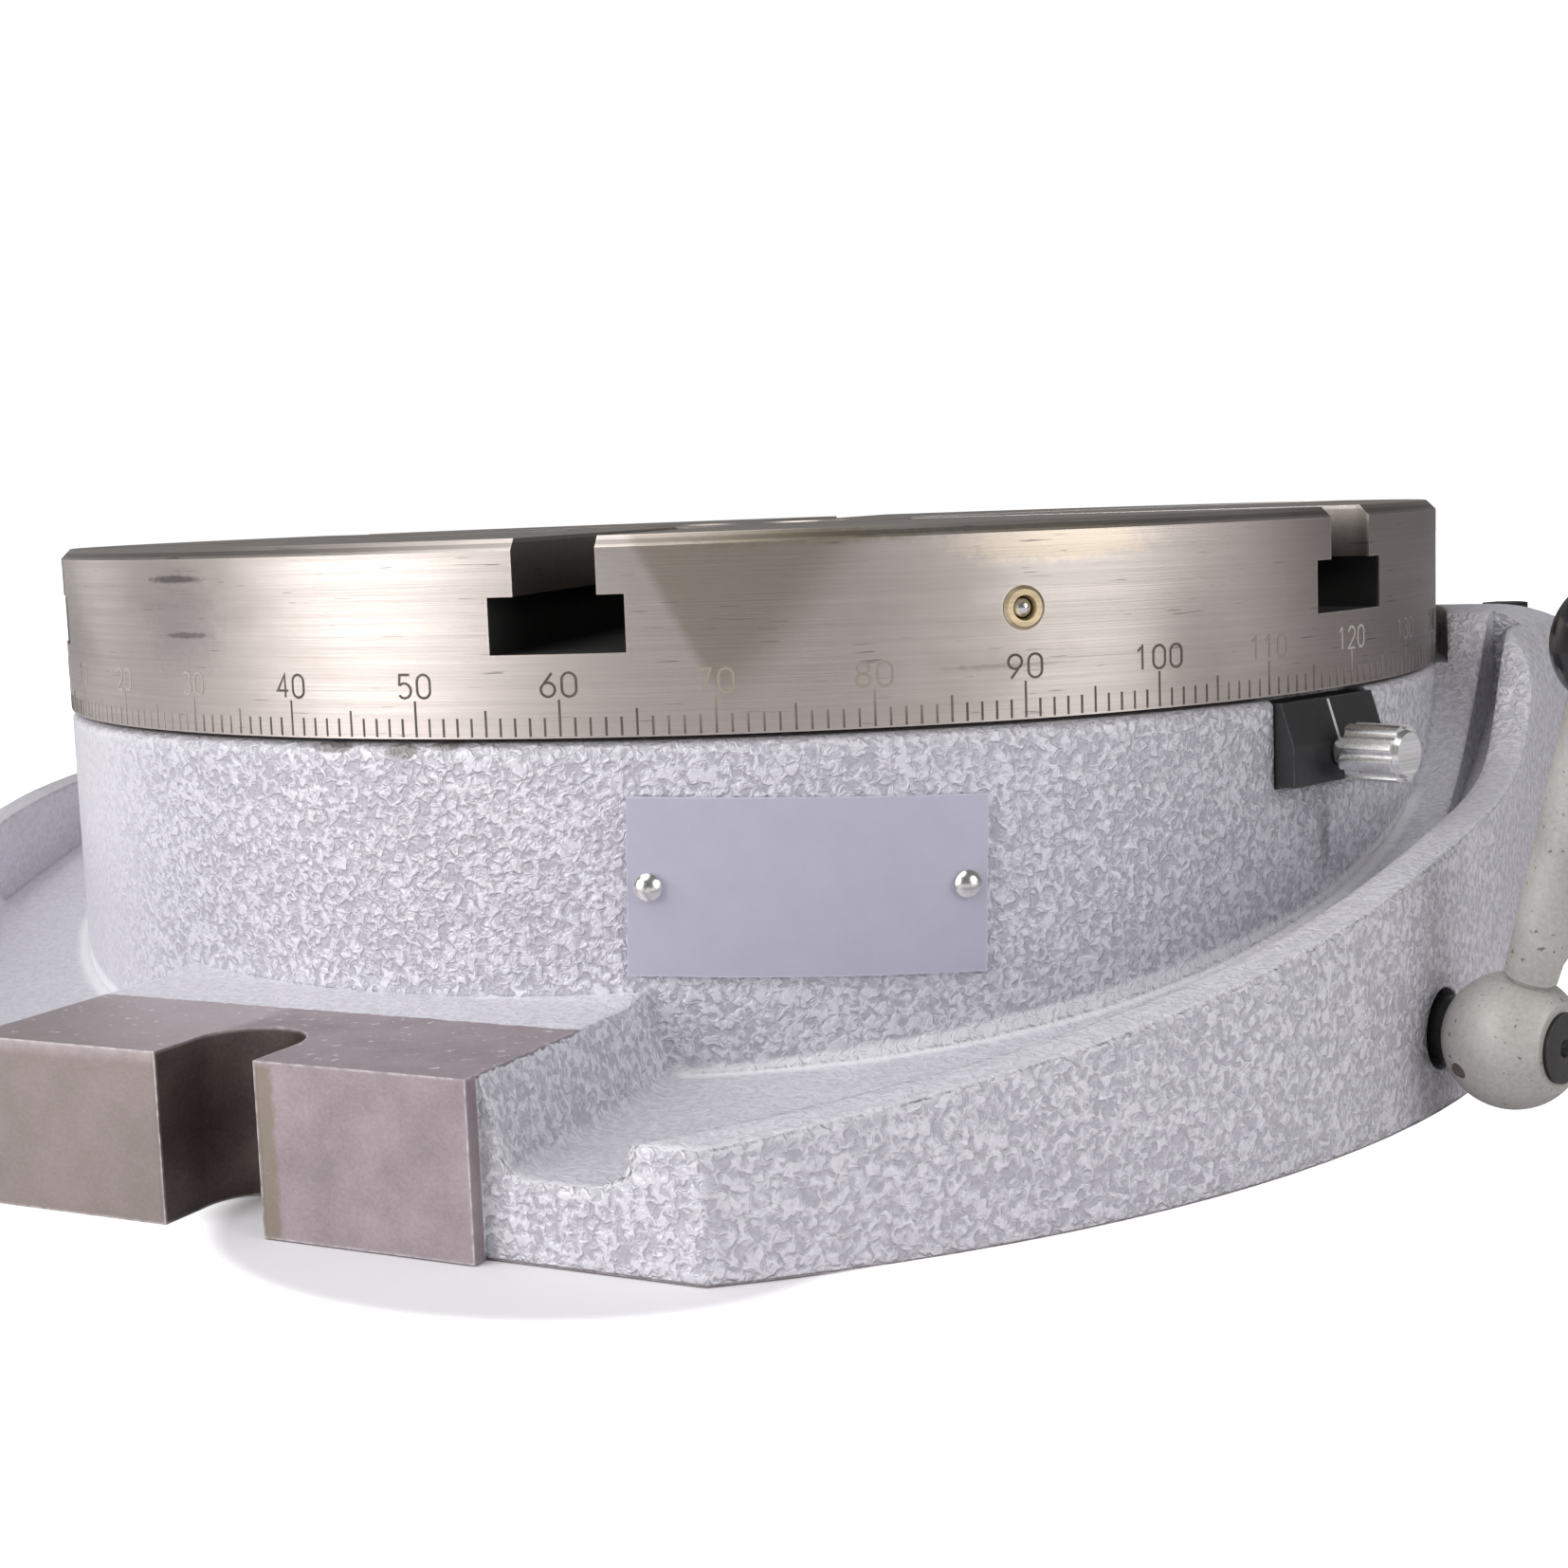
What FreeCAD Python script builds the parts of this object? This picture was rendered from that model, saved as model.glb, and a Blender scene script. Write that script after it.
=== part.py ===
import FreeCAD, Part
import math
import os
import re

import Sketcher

Vector = FreeCAD.Vector
Rotation = FreeCAD.Rotation
Placement = FreeCAD.Placement

doc = FreeCAD.newDocument("rotary_indexing_table")
sheet = doc.addObject("Spreadsheet::Sheet", "Sizes")

# Driving dimensions in millimetres and degrees. Bearings are measured from the
# front of the casting (-Y) towards the handwheel side (+X).
SIZES = {
    "table_radius": 125,
    "rim_low": 60,
    "table_thickness": 27.6,
    "table_chamfer": 1.6,
    "slot_count": 6,
    "slot_bearing": 13.73,
    "slot_neck": 12,
    "slot_head": 19.6,
    "slot_lip": 8,
    "slot_head_height": 8,
    "slot_inner_radius": 34,
    "spindle_radius": 40,
    "spindle_low": 10,
    "centre_bore_radius": 20,
    "register_radius": 15,
    "register_depth": 10,
    "taper_radius": 11.91,
    "taper_half_slope": 0.0251,
    "running_gap": 0.04,
    "seat_gap": 0.02,
    "free_gap": 0.3,
    "wheel_seat_radius": 84,
    "wheel_screw_circle": 73,
    "wheel_screw_count": 6,
    "wheel_screw_reach": 12,
    "wheel_screw_sink": 6,
    "screw_radius": 3,
    "screw_hole_radius": 3.2,
    "screw_head_radius": 5,
    "screw_head_hole_radius": 5.3,
    "small_screw_radius": 1.5,
    "small_screw_hole_radius": 1.6,
    "small_screw_head_radius": 2.6,
    "gear_module": 2,
    "wheel_teeth": 90,
    "worm_pitch_radius": 14,
    "wheel_width": 20,
    "wheel_bore_radius": 62,
    "flank_angle": 25,
    "tooth_thinning": 0.54,
    "thread_turns": 6,
    "thread_sink": 0.3,
    "worm_height": 32,
    "sleeve_offset": 5,
    "sleeve_radius": 23,
    "sleeve_wall": 1.6,
    "housing_wall": 4,
    "housing_proud": 8.5,
    "housing_inset": 1,
    "cap_inset": 1.5,
    "base_half_width": 141.5,
    "base_front": 164.5,
    "base_rear": 165,
    "side_arc_radius": 177,
    "side_arc_start": 20,
    "flange_wall": 5.6,
    "groove_width": 4.6,
    "wing_corner_radius": 14,
    "barrel_radius": 125,
    "rim_gap": 0.7,
    "barrel_edge_radius": 1.2,
    "table_clearance_radius": 127,
    "way_inner": 98,
    "way_outer": 118,
    "cavity_radius": 96,
    "cavity_floor": 18,
    "boss_radius": 52,
    "boss_top": 50,
    "recess_radius": 52,
    "cover_radius": 58,
    "cover_thickness": 2,
    "cover_inset": 0.6,
    "cover_hole_radius": 16,
    "retainer_radius": 50,
    "retainer_screw_circle": 30,
    "retainer_screw_count": 4,
    "retainer_screw_length": 16,
    "retainer_thickness": 6,
    "retainer_gap": 0.2,
    "lug_half_width": 40,
    "lug_height": 23.3,
    "lug_draft": 0.283,
    "lug_pad_depth": 27.5,
    "front_step": 2.7,
    "foot_fillet": 4,
    "shoulder_height": 10.4,
    "clamp_slot_width": 16,
    "clamp_slot_depth": 16.5,
    "foot_thickness": 14,
    "foot_pocket_depth": 14,
    "foot_pocket_width": 38,
    "foot_slot_length": 22,
    "gutter_rear": 32,
    "groove_rear": 60,
    "wing_rise": 7.5,
    "wing_crown": 0.5,
    "rear_relief_half_width": 30,
    "rear_relief_depth": 18,
    "end_cap_radius": 28,
    "end_cap_thickness": 6,
    "end_cap_screw_circle": 25.3,
    "end_cap_screw_count": 3,
    "cover_screw_count": 3,
    "oil_plug_station": 122.5,
    "oil_plug_radius": 4.6,
    "oil_plug_rise": 7,
    "oil_plug_thread_radius": 3,
    "oil_plug_thread_length": 2.5,
    "spot_face_depth": 1,
    "spot_face_margin": 1,
    "plate_bearing": 29.15,
    "plate_width": 50.2,
    "plate_height": 25,
    "plate_middle": 38.5,
    "plate_tilt": 2,
    "plate_thickness": 0.8,
    "plate_film": 0.1,
    "rivet_reach": 22.1,
    "rivet_radius": 2,
    "pointer_bearing": 70,
    "pointer_width": 25,
    "pointer_low": 46.3,
    "pointer_sunk": 4.3,
    "pointer_proud": 2.6,
    "pointer_side_gap": 0.4,
    "pointer_back_gap": 0.2,
    "pointer_face": 6.2,
    "pointer_screw_radius": 1.65,
    "pointer_knob_height": 50.8,
    "pointer_knob_radius": 4.4,
    "pointer_knob_length": 9.5,
    "nipple_bearing": 43.73,
    "nipple_height": 75.5,
    "nipple_radius": 3.1,
    "nipple_ball_radius": 1.45,
    "clamp_bearing": 67.3,
    "clamp_height": 12,
    "clamp_shaft_radius": 6,
    "clamp_neck_sunk": 5,
    "clamp_bore_web": 3,
    "clamp_throw": 0.6,
    "cam_radius": 4.5,
    "plunger_radius": 6,
    "plunger_circle": 110,
    "plunger_drop": 0.6,
    "hub_radius": 9.8,
    "hub_standoff": 11.1,
    "hub_face": 7.5,
    "shank_low_radius": 3.7,
    "shank_top_radius": 5.2,
    "shank_length": 50,
    "shank_lean": 16,
    "ball_radius": 9.5,
    "journal_radius": 10,
    "thread_half_length": 27,
    "thrust_collar_radius": 13,
    "thrust_collar_width": 7,
    "bush_length": 29,
    "worm_end": 76,
    "sleeve_left": 98,
    "sleeve_flange_radius": 27,
    "sleeve_flange_width": 6,
    "window_half_length": 36,
    "collar_radius": 25,
    "collar_width": 7,
    "dial_radius": 26,
    "dial_width": 13,
    "dial_lock_station": 6.5,
    "dial_lock_radius": 2,
    "dial_lock_head_radius": 3.4,
    "lock_screw_backoff": 4.2,
    "wheel_hub_radius": 14,
    "handwheel_radius": 29.5,
    "handwheel_width": 10,
    "hub_tail": 9,
    "shaft_end_radius": 7,
    "crank_circle": 21,
    "crank_pin_radius": 4,
    "key_width": 4,
    "grip_radius": 7.5,
    "grip_length": 42,
    "release_rod_length": 34,
    "release_rod_radius": 3,
    "release_ball_radius": 6.5,
}
for row, (alias, number) in enumerate(SIZES.items(), start=1):
    sheet.set("A%d" % row, alias)
    sheet.set("B%d" % row, str(number))
    sheet.setAlias("B%d" % row, alias)
doc.recompute()

WORD = re.compile(r"[a-z][a-z_]+")


def formula(text):
    """Turn a short formula into one that reads its names from the sheet."""
    def named(found):
        word = found.group(0)
        return "Sizes." + word if word in SIZES else word

    return WORD.sub(named, str(text))


def value(text):
    """Work out a short formula as a plain number."""
    return float(sheet.evalExpression(formula(text)))


def bind(thing, name, text):
    thing.setExpression(name, formula(text))


def new_body(label):
    body = doc.addObject("PartDesign::Body", label)
    body.Label = label
    return body


def plane_of(body, role):
    return [feature for feature in body.Origin.OriginFeatures if feature.Role == role][0]


def new_sketch(body, role, offset=None):
    """Start a sketch on one of the body's own planes, optionally moved along its normal."""
    sketch = body.newObject("Sketcher::SketchObject", "Sketch")
    sketch.AttachmentSupport = [(plane_of(body, role), "")]
    sketch.MapMode = "FlatFace"
    if offset is not None:
        bind(sketch, "AttachmentOffset.Base.z", offset)
    doc.recompute()
    return sketch


def tie(sketch, kind, first, point, text):
    """Hold one point of a sketch at a distance from the origin along an axis."""
    number = value(text)
    index = sketch.addConstraint(Sketcher.Constraint(kind, -1, 1, first, point, number))
    if WORD.search(str(text)):
        bind(sketch, "Constraints[%d]" % index, text)


def outline(sketch, corners):
    """Draw a closed chain of straight edges through corners given as formulas."""
    spots = [Vector(value(across), value(up), 0) for across, up in corners]
    start = sketch.GeometryCount
    count = len(spots)
    for index, spot in enumerate(spots):
        sketch.addGeometry(Part.LineSegment(spot, spots[(index + 1) % count]))
    for index in range(count):
        following = start + (index + 1) % count
        sketch.addConstraint(Sketcher.Constraint("Coincident", start + index, 2, following, 1))
    for index, (across, up) in enumerate(corners):
        tie(sketch, "DistanceX", start + index, 1, across)
        tie(sketch, "DistanceY", start + index, 1, up)


def circle(sketch, across, up, radius):
    spot = Vector(value(across), value(up), 0)
    index = sketch.addGeometry(Part.Circle(spot, Vector(0, 0, 1), value(radius)))
    tie(sketch, "DistanceX", index, 3, across)
    tie(sketch, "DistanceY", index, 3, up)
    constraint = sketch.addConstraint(Sketcher.Constraint("Radius", index, value(radius)))
    if WORD.search(str(radius)):
        bind(sketch, "Constraints[%d]" % constraint, radius)


def polygon(sketch, across, up, radius, sides):
    """Draw a regular polygon, as for a nut or a socket."""
    corners = []
    for index in range(sides):
        angle = 360.0 * index / sides
        corners.append((
            "%s + (%s) * %.9f" % (across, radius, math.cos(math.radians(angle))),
            "%s + (%s) * %.9f" % (up, radius, math.sin(math.radians(angle))),
        ))
    outline(sketch, corners)


def revolve(body, corners, axis="V_Axis", role="XZ_Plane"):
    """Turn a closed profile round the sketch's upright or level axis."""
    sketch = new_sketch(body, role)
    outline(sketch, corners)
    turned = body.newObject("PartDesign::Revolution", "Turned")
    turned.Profile = sketch
    turned.ReferenceAxis = (sketch, [axis])
    turned.Angle = 360
    doc.recompute()
    return turned


def pad(body, sketch, length, reverse=False):
    solid = body.newObject("PartDesign::Pad", "Pad")
    solid.Profile = sketch
    bind(solid, "Length", length)
    solid.Reversed = reverse
    doc.recompute()
    return solid


def pocket(body, sketch, length, reverse=False):
    """Cut a sketch into the body and make sure that it took metal away."""
    before = body.Shape.Volume
    cut = body.newObject("PartDesign::Pocket", "Pocket")
    cut.Profile = sketch
    bind(cut, "Length", length)
    cut.Reversed = reverse
    doc.recompute()
    if body.Shape.Volume >= before - 1e-6:
        raise RuntimeError("pocket of %s cuts nothing" % body.Label)
    return cut


def around(body, feature, count, axis_role="Z_Axis"):
    """Repeat a feature round one of the body's own axes."""
    pattern = body.newObject("PartDesign::PolarPattern", "Pattern")
    pattern.Originals = [feature]
    pattern.Axis = (plane_of(body, axis_role), [""])
    pattern.Angle = 360
    bind(pattern, "Occurrences", count)
    body.Tip = pattern
    doc.recompute()
    return pattern


def bearing_turn(bearing):
    """Turn a piece modelled along +X so that it points out at a bearing."""
    return Rotation(Vector(0, 0, 1), bearing - 90)


def out_at(bearing, radius, height):
    angle = math.radians(bearing)
    return Vector(radius * math.sin(angle), -radius * math.cos(angle), height)


def feature(label, shape, placement=None):
    thing = doc.addObject("Part::Feature", label)
    thing.Label = label
    thing.Shape = shape
    if placement is not None:
        thing.Placement = placement.multiply(shape.Placement)
    return thing


def solid_of(shape):
    """Give the single solid of a boolean's result."""
    return shape.Solids[0] if len(shape.Solids) == 1 else shape


# Worked-out places that several pieces share
worm_line = "gear_module * wheel_teeth / 2 + worm_pitch_radius"
sleeve_line = worm_line + " + sleeve_offset"
rim_top = "rim_low + table_thickness"
wheel_low = "worm_height - wheel_width / 2"
wheel_high = "worm_height + wheel_width / 2"
worm_chamber = "sleeve_radius - sleeve_offset - sleeve_wall"
housing_end = "base_half_width + housing_proud"
cap_seat = "base_half_width - cap_inset - end_cap_thickness"
cover_circle = "(recess_radius + cover_radius) / 2"
retainer_low = "spindle_low - retainer_thickness"
flange_face = housing_end + " + sleeve_flange_width"
pointer_back = "barrel_radius - pointer_sunk"
pointer_front = "barrel_radius + pointer_proud"
dial_start = flange_face + " + collar_width + free_gap"
hub_front = dial_start + " + dial_width + 2 * free_gap + handwheel_width + hub_tail"
wheel_back = dial_start + " + dial_width + 2 * free_gap"
wheel_face = wheel_back + " + handwheel_width"

WORM_Y = value(worm_line)
SLEEVE_Y = value(sleeve_line)
WORM_Z = value("worm_height")
WORM_PLACE = Placement(Vector(0, WORM_Y, WORM_Z), Rotation())
SLEEVE_PLACE = Placement(Vector(0, SLEEVE_Y, WORM_Z), Rotation())
SLOT_BEARING = value("slot_bearing")
# How far cutting shapes run past the metal that they cut
PAST = 5
WIDE_PAST = 60
# How deep the holes of the small screws are drilled into the casting
SMALL_HOLE_DEPTH = 10


def spread(count, start=0.0):
    """Angles of a ring of like features, evenly round, in radians."""
    number = int(value(count))
    return [math.radians(start + 360 / number * index) for index in range(number)]


def flat_wire_face(edges):
    return Part.Face(Part.Wire(edges))


def side_arc(inset):
    """Give the arc of the plan outline on the +X side, moved inwards by inset."""
    radius = value("side_arc_radius") - inset
    centre = Vector(value("base_half_width - side_arc_radius"), -value("side_arc_start"), 0)
    front = value("front_step - base_front") - (PAST if inset else 0)
    reach = math.sqrt(radius ** 2 - (front - centre.y) ** 2)
    low = Vector(centre.x + reach, front, 0)
    high = Vector(centre.x + radius, centre.y, 0)
    middle_angle = 0.5 * math.atan2(front - centre.y, reach)
    middle = centre + Vector(radius * math.cos(middle_angle), radius * math.sin(middle_angle), 0)
    return low, middle, high


def plan_prism(inset, rear, height):
    """Extrude the plan of the casting, inset by a wall, up to a height."""
    low, middle, high = side_arc(inset)
    back = Vector(high.x, rear, 0)

    def mirror(point):
        return Vector(-point.x, point.y, 0)

    edges = [
        Part.Arc(low, middle, high).toShape(),
        Part.LineSegment(high, back).toShape(),
        Part.LineSegment(back, mirror(back)).toShape(),
        Part.LineSegment(mirror(back), mirror(high)).toShape(),
        Part.Arc(mirror(high), mirror(middle), mirror(low)).toShape(),
        Part.LineSegment(mirror(low), low).toShape(),
    ]
    return flat_wire_face(edges).extrude(Vector(0, 0, height))


def cross_prism(points, ceiling):
    """Fill the space above a smooth line through (y, z) points, right across the casting."""
    half = value("base_half_width") + WIDE_PAST
    curve = Part.BSplineCurve()
    spots = [Vector(-half, along, height) for along, height in points]
    curve.interpolate(spots)
    first = spots[0]
    last = spots[-1]
    top_last = Vector(-half, last.y, ceiling)
    top_first = Vector(-half, first.y, ceiling)
    edges = [
        curve.toShape(),
        Part.LineSegment(last, top_last).toShape(),
        Part.LineSegment(top_last, top_first).toShape(),
        Part.LineSegment(top_first, first).toShape(),
    ]
    return flat_wire_face(edges).extrude(Vector(2 * half, 0, 0))


def wall_distance(bearing):
    """Find how far out the side wall lies from the table's axis at a bearing."""
    angle = math.radians(bearing)
    radius = value("side_arc_radius")
    centre = Vector(value("base_half_width") - radius, -value("side_arc_start"), 0)
    along = centre.x * math.sin(angle) - centre.y * math.cos(angle)
    return along + math.sqrt(along ** 2 + radius ** 2 - centre.x ** 2 - centre.y ** 2)


def box(low, high):
    size = high - low
    return Part.makeBox(size.x, size.y, size.z, low)


def cylinder(radius, low, length, axis=Vector(0, 0, 1)):
    return Part.makeCylinder(radius, length, low, axis)


def clamp_slot(front, depth, low, high):
    """A slot for a clamping bolt, open at the edge of a lug that points to -Y."""
    half = value("clamp_slot_width") / 2
    end = front + depth - half
    straight = box(Vector(-half, front - PAST, low), Vector(half, end, high))
    return straight.fuse(cylinder(half, Vector(0, end, low), high - low))


def casting_block():
    """The outside of the casting: flange, wings, barrel, worm boss and front lug."""
    front = value("base_front")
    rear = value("base_rear")
    half = value("base_half_width")
    wing_top = value("rim_low + wing_rise")
    shoulder = value("shoulder_height")
    ridge = [
        (-front - 6, shoulder + 4.2),
        (-front + 22, shoulder + 9.6),
        (-front + 51, shoulder + 15),
        (-front + 84, shoulder + 22),
        (-front + 118, shoulder + 29),
        (-front + 143, shoulder + 32),
        (-front + 158, shoulder + 35.5),
        (-front + 168, shoulder + 43.5),
        (-front + 178, wing_top - 4),
        (-front + 192, wing_top),
        (-front + 224, wing_top - 1),
        (-front + 250, wing_top - 7),
        (-front + 280, wing_top - 14),
        (rear + 6, wing_top - 15),
    ]
    block = plan_prism(0, rear, wing_top + PAST)
    block = block.cut(cross_prism(ridge, wing_top + WIDE_PAST))
    radius = value("wing_corner_radius")
    corner = half - radius
    top = wing_top + value("wing_crown")
    edges = [
        Part.LineSegment(Vector(-half, 0, 0), Vector(half, 0, 0)).toShape(),
        Part.LineSegment(Vector(half, 0, 0), Vector(half, 0, top - radius)).toShape(),
        Part.Arc(
            Vector(half, 0, top - radius),
            Vector(corner + radius * math.sqrt(0.5), 0, top - radius + radius * math.sqrt(0.5)),
            Vector(corner, 0, top),
        ).toShape(),
        Part.LineSegment(Vector(corner, 0, top), Vector(-corner, 0, top)).toShape(),
        Part.Arc(
            Vector(-corner, 0, top),
            Vector(-corner - radius * math.sqrt(0.5), 0, top - radius + radius * math.sqrt(0.5)),
            Vector(-half, 0, top - radius),
        ).toShape(),
        Part.LineSegment(Vector(-half, 0, top - radius), Vector(-half, 0, 0)).toShape(),
    ]
    rounded = flat_wire_face(edges).extrude(Vector(0, front + rear + 2 * PAST, 0))
    rounded.translate(Vector(0, -front - PAST, 0))
    return block.common(rounded)


def lug_prism(top):
    """The cast body of the front lug, its flanks drawn in towards the top."""
    half = value("lug_half_width")
    draft = value("lug_draft")
    height = value("lug_height")
    start = value("front_step - base_front")
    foot = half + draft * height
    head = half - draft * (top - height)
    spots = [
        Vector(-foot, start, 0), Vector(foot, start, 0), Vector(head, start, top), Vector(-head, start, top),
    ]
    face = Part.Face(Part.makePolygon(spots + spots[:1]))
    return face.extrude(Vector(0, -start - value("way_inner"), 0))


def front_lug():
    """The front lug with its machined pad, which stands a little proud of the cast face."""
    half = value("lug_half_width")
    height = value("lug_height")
    pad_block = box(
        Vector(-half, -value("base_front"), 0), Vector(half, value("lug_pad_depth - base_front"), height)
    )
    return lug_prism(height).fuse(pad_block)


def rounded_edges(shape, radius, wanted):
    """Round the edges of a shape whose middle point and ends satisfy a test."""
    chosen = []
    for edge in shape.Edges:
        low, high = edge.FirstParameter, edge.LastParameter
        spots = [edge.valueAt(low + (high - low) * share) for share in (0.02, 0.5, 0.98)]
        if edge.Length > 1 and wanted(edge, spots):
            chosen.append(edge)
    return shape.makeFillet(radius, chosen)


def gutters():
    """The sunk bands between the barrel and the flange walls, with cast fillets at their foot."""
    front = value("base_front")
    shoulder = value("shoulder_height")
    floor = [
        (-front - 8, shoulder),
        (-front + 24, shoulder + 0.6),
        (-front + 52, shoulder + 2.6),
        (-front + 116, shoulder + 15.6),
        (-front + 145, shoulder + 25.5),
        (-front + 165, shoulder + 36),
        (-front + 180, shoulder + 47),
        (-front + 196, shoulder + 62),
    ]
    ceiling = value("rim_low") + WIDE_PAST
    rear = value("gutter_rear")
    band = plan_prism(value("flange_wall"), rear, ceiling)
    space = band.common(cross_prism(floor, ceiling))
    space = space.cut(lug_prism(ceiling))
    ends = (space.BoundBox.YMin, space.BoundBox.YMax)

    def at_foot(edge, spots):
        return all(
            spot.z < ceiling - PAST and min(abs(spot.y - end) for end in ends) > 0.1 for spot in spots
        ) and not (edge.Curve.TypeId == "Part::GeomLine" and abs(spots[0].x - spots[2].x) < 0.01
                   and abs(spots[0].y - spots[2].y) < 0.01)

    return rounded_edges(space, value("foot_fillet"), at_foot)


def wall_groove():
    """The narrow channel beside each wall, ending in a pit where the wing begins."""
    front = value("base_front")
    shoulder = value("shoulder_height")
    wall = value("flange_wall")
    ceiling = value("rim_low") + WIDE_PAST
    rear = value("groove_rear")
    inner = plan_prism(wall + value("groove_width"), rear, ceiling)
    outer = plan_prism(wall, rear, ceiling)
    ring = outer.cut(inner)
    floor = [
        (-front + 96, shoulder + 10),
        (-front + 130, shoulder + 18.5),
        (-front + 164, shoulder + 29),
        (-front + 197, shoulder + 41),
    ]
    return ring.common(cross_prism(floor, ceiling))


def pointer_recess():
    """The flat-backed recess in the barrel that holds the zero pointer."""
    half = value("pointer_width / 2 + pointer_side_gap")
    low = Vector(value(pointer_back + " - pointer_back_gap"), -half, value("pointer_low - free_gap"))
    high = Vector(value("barrel_radius") + PAST, half, value("rim_low") + PAST)
    notch = box(low, high)
    notch.rotate(Vector(), Vector(0, 0, 1), value("pointer_bearing") - 90)
    return notch


def clamp_bores(side):
    """The level bore of a clamp shaft and the upright bore of its plunger."""
    bearing = side * value("clamp_bearing")
    turn = Placement(Vector(), bearing_turn(bearing))
    height = value("clamp_height")
    start = value("cavity_radius + clamp_bore_web")
    level = cylinder(
        value("clamp_shaft_radius + running_gap"), Vector(start, 0, height), WIDE_PAST, Vector(1, 0, 0)
    )
    upright = cylinder(
        value("plunger_radius + running_gap"),
        Vector(value("plunger_circle"), 0, height),
        value("rim_low") - height + PAST,
    )
    bores = level.fuse(upright)
    bores.Placement = turn
    return bores


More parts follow.
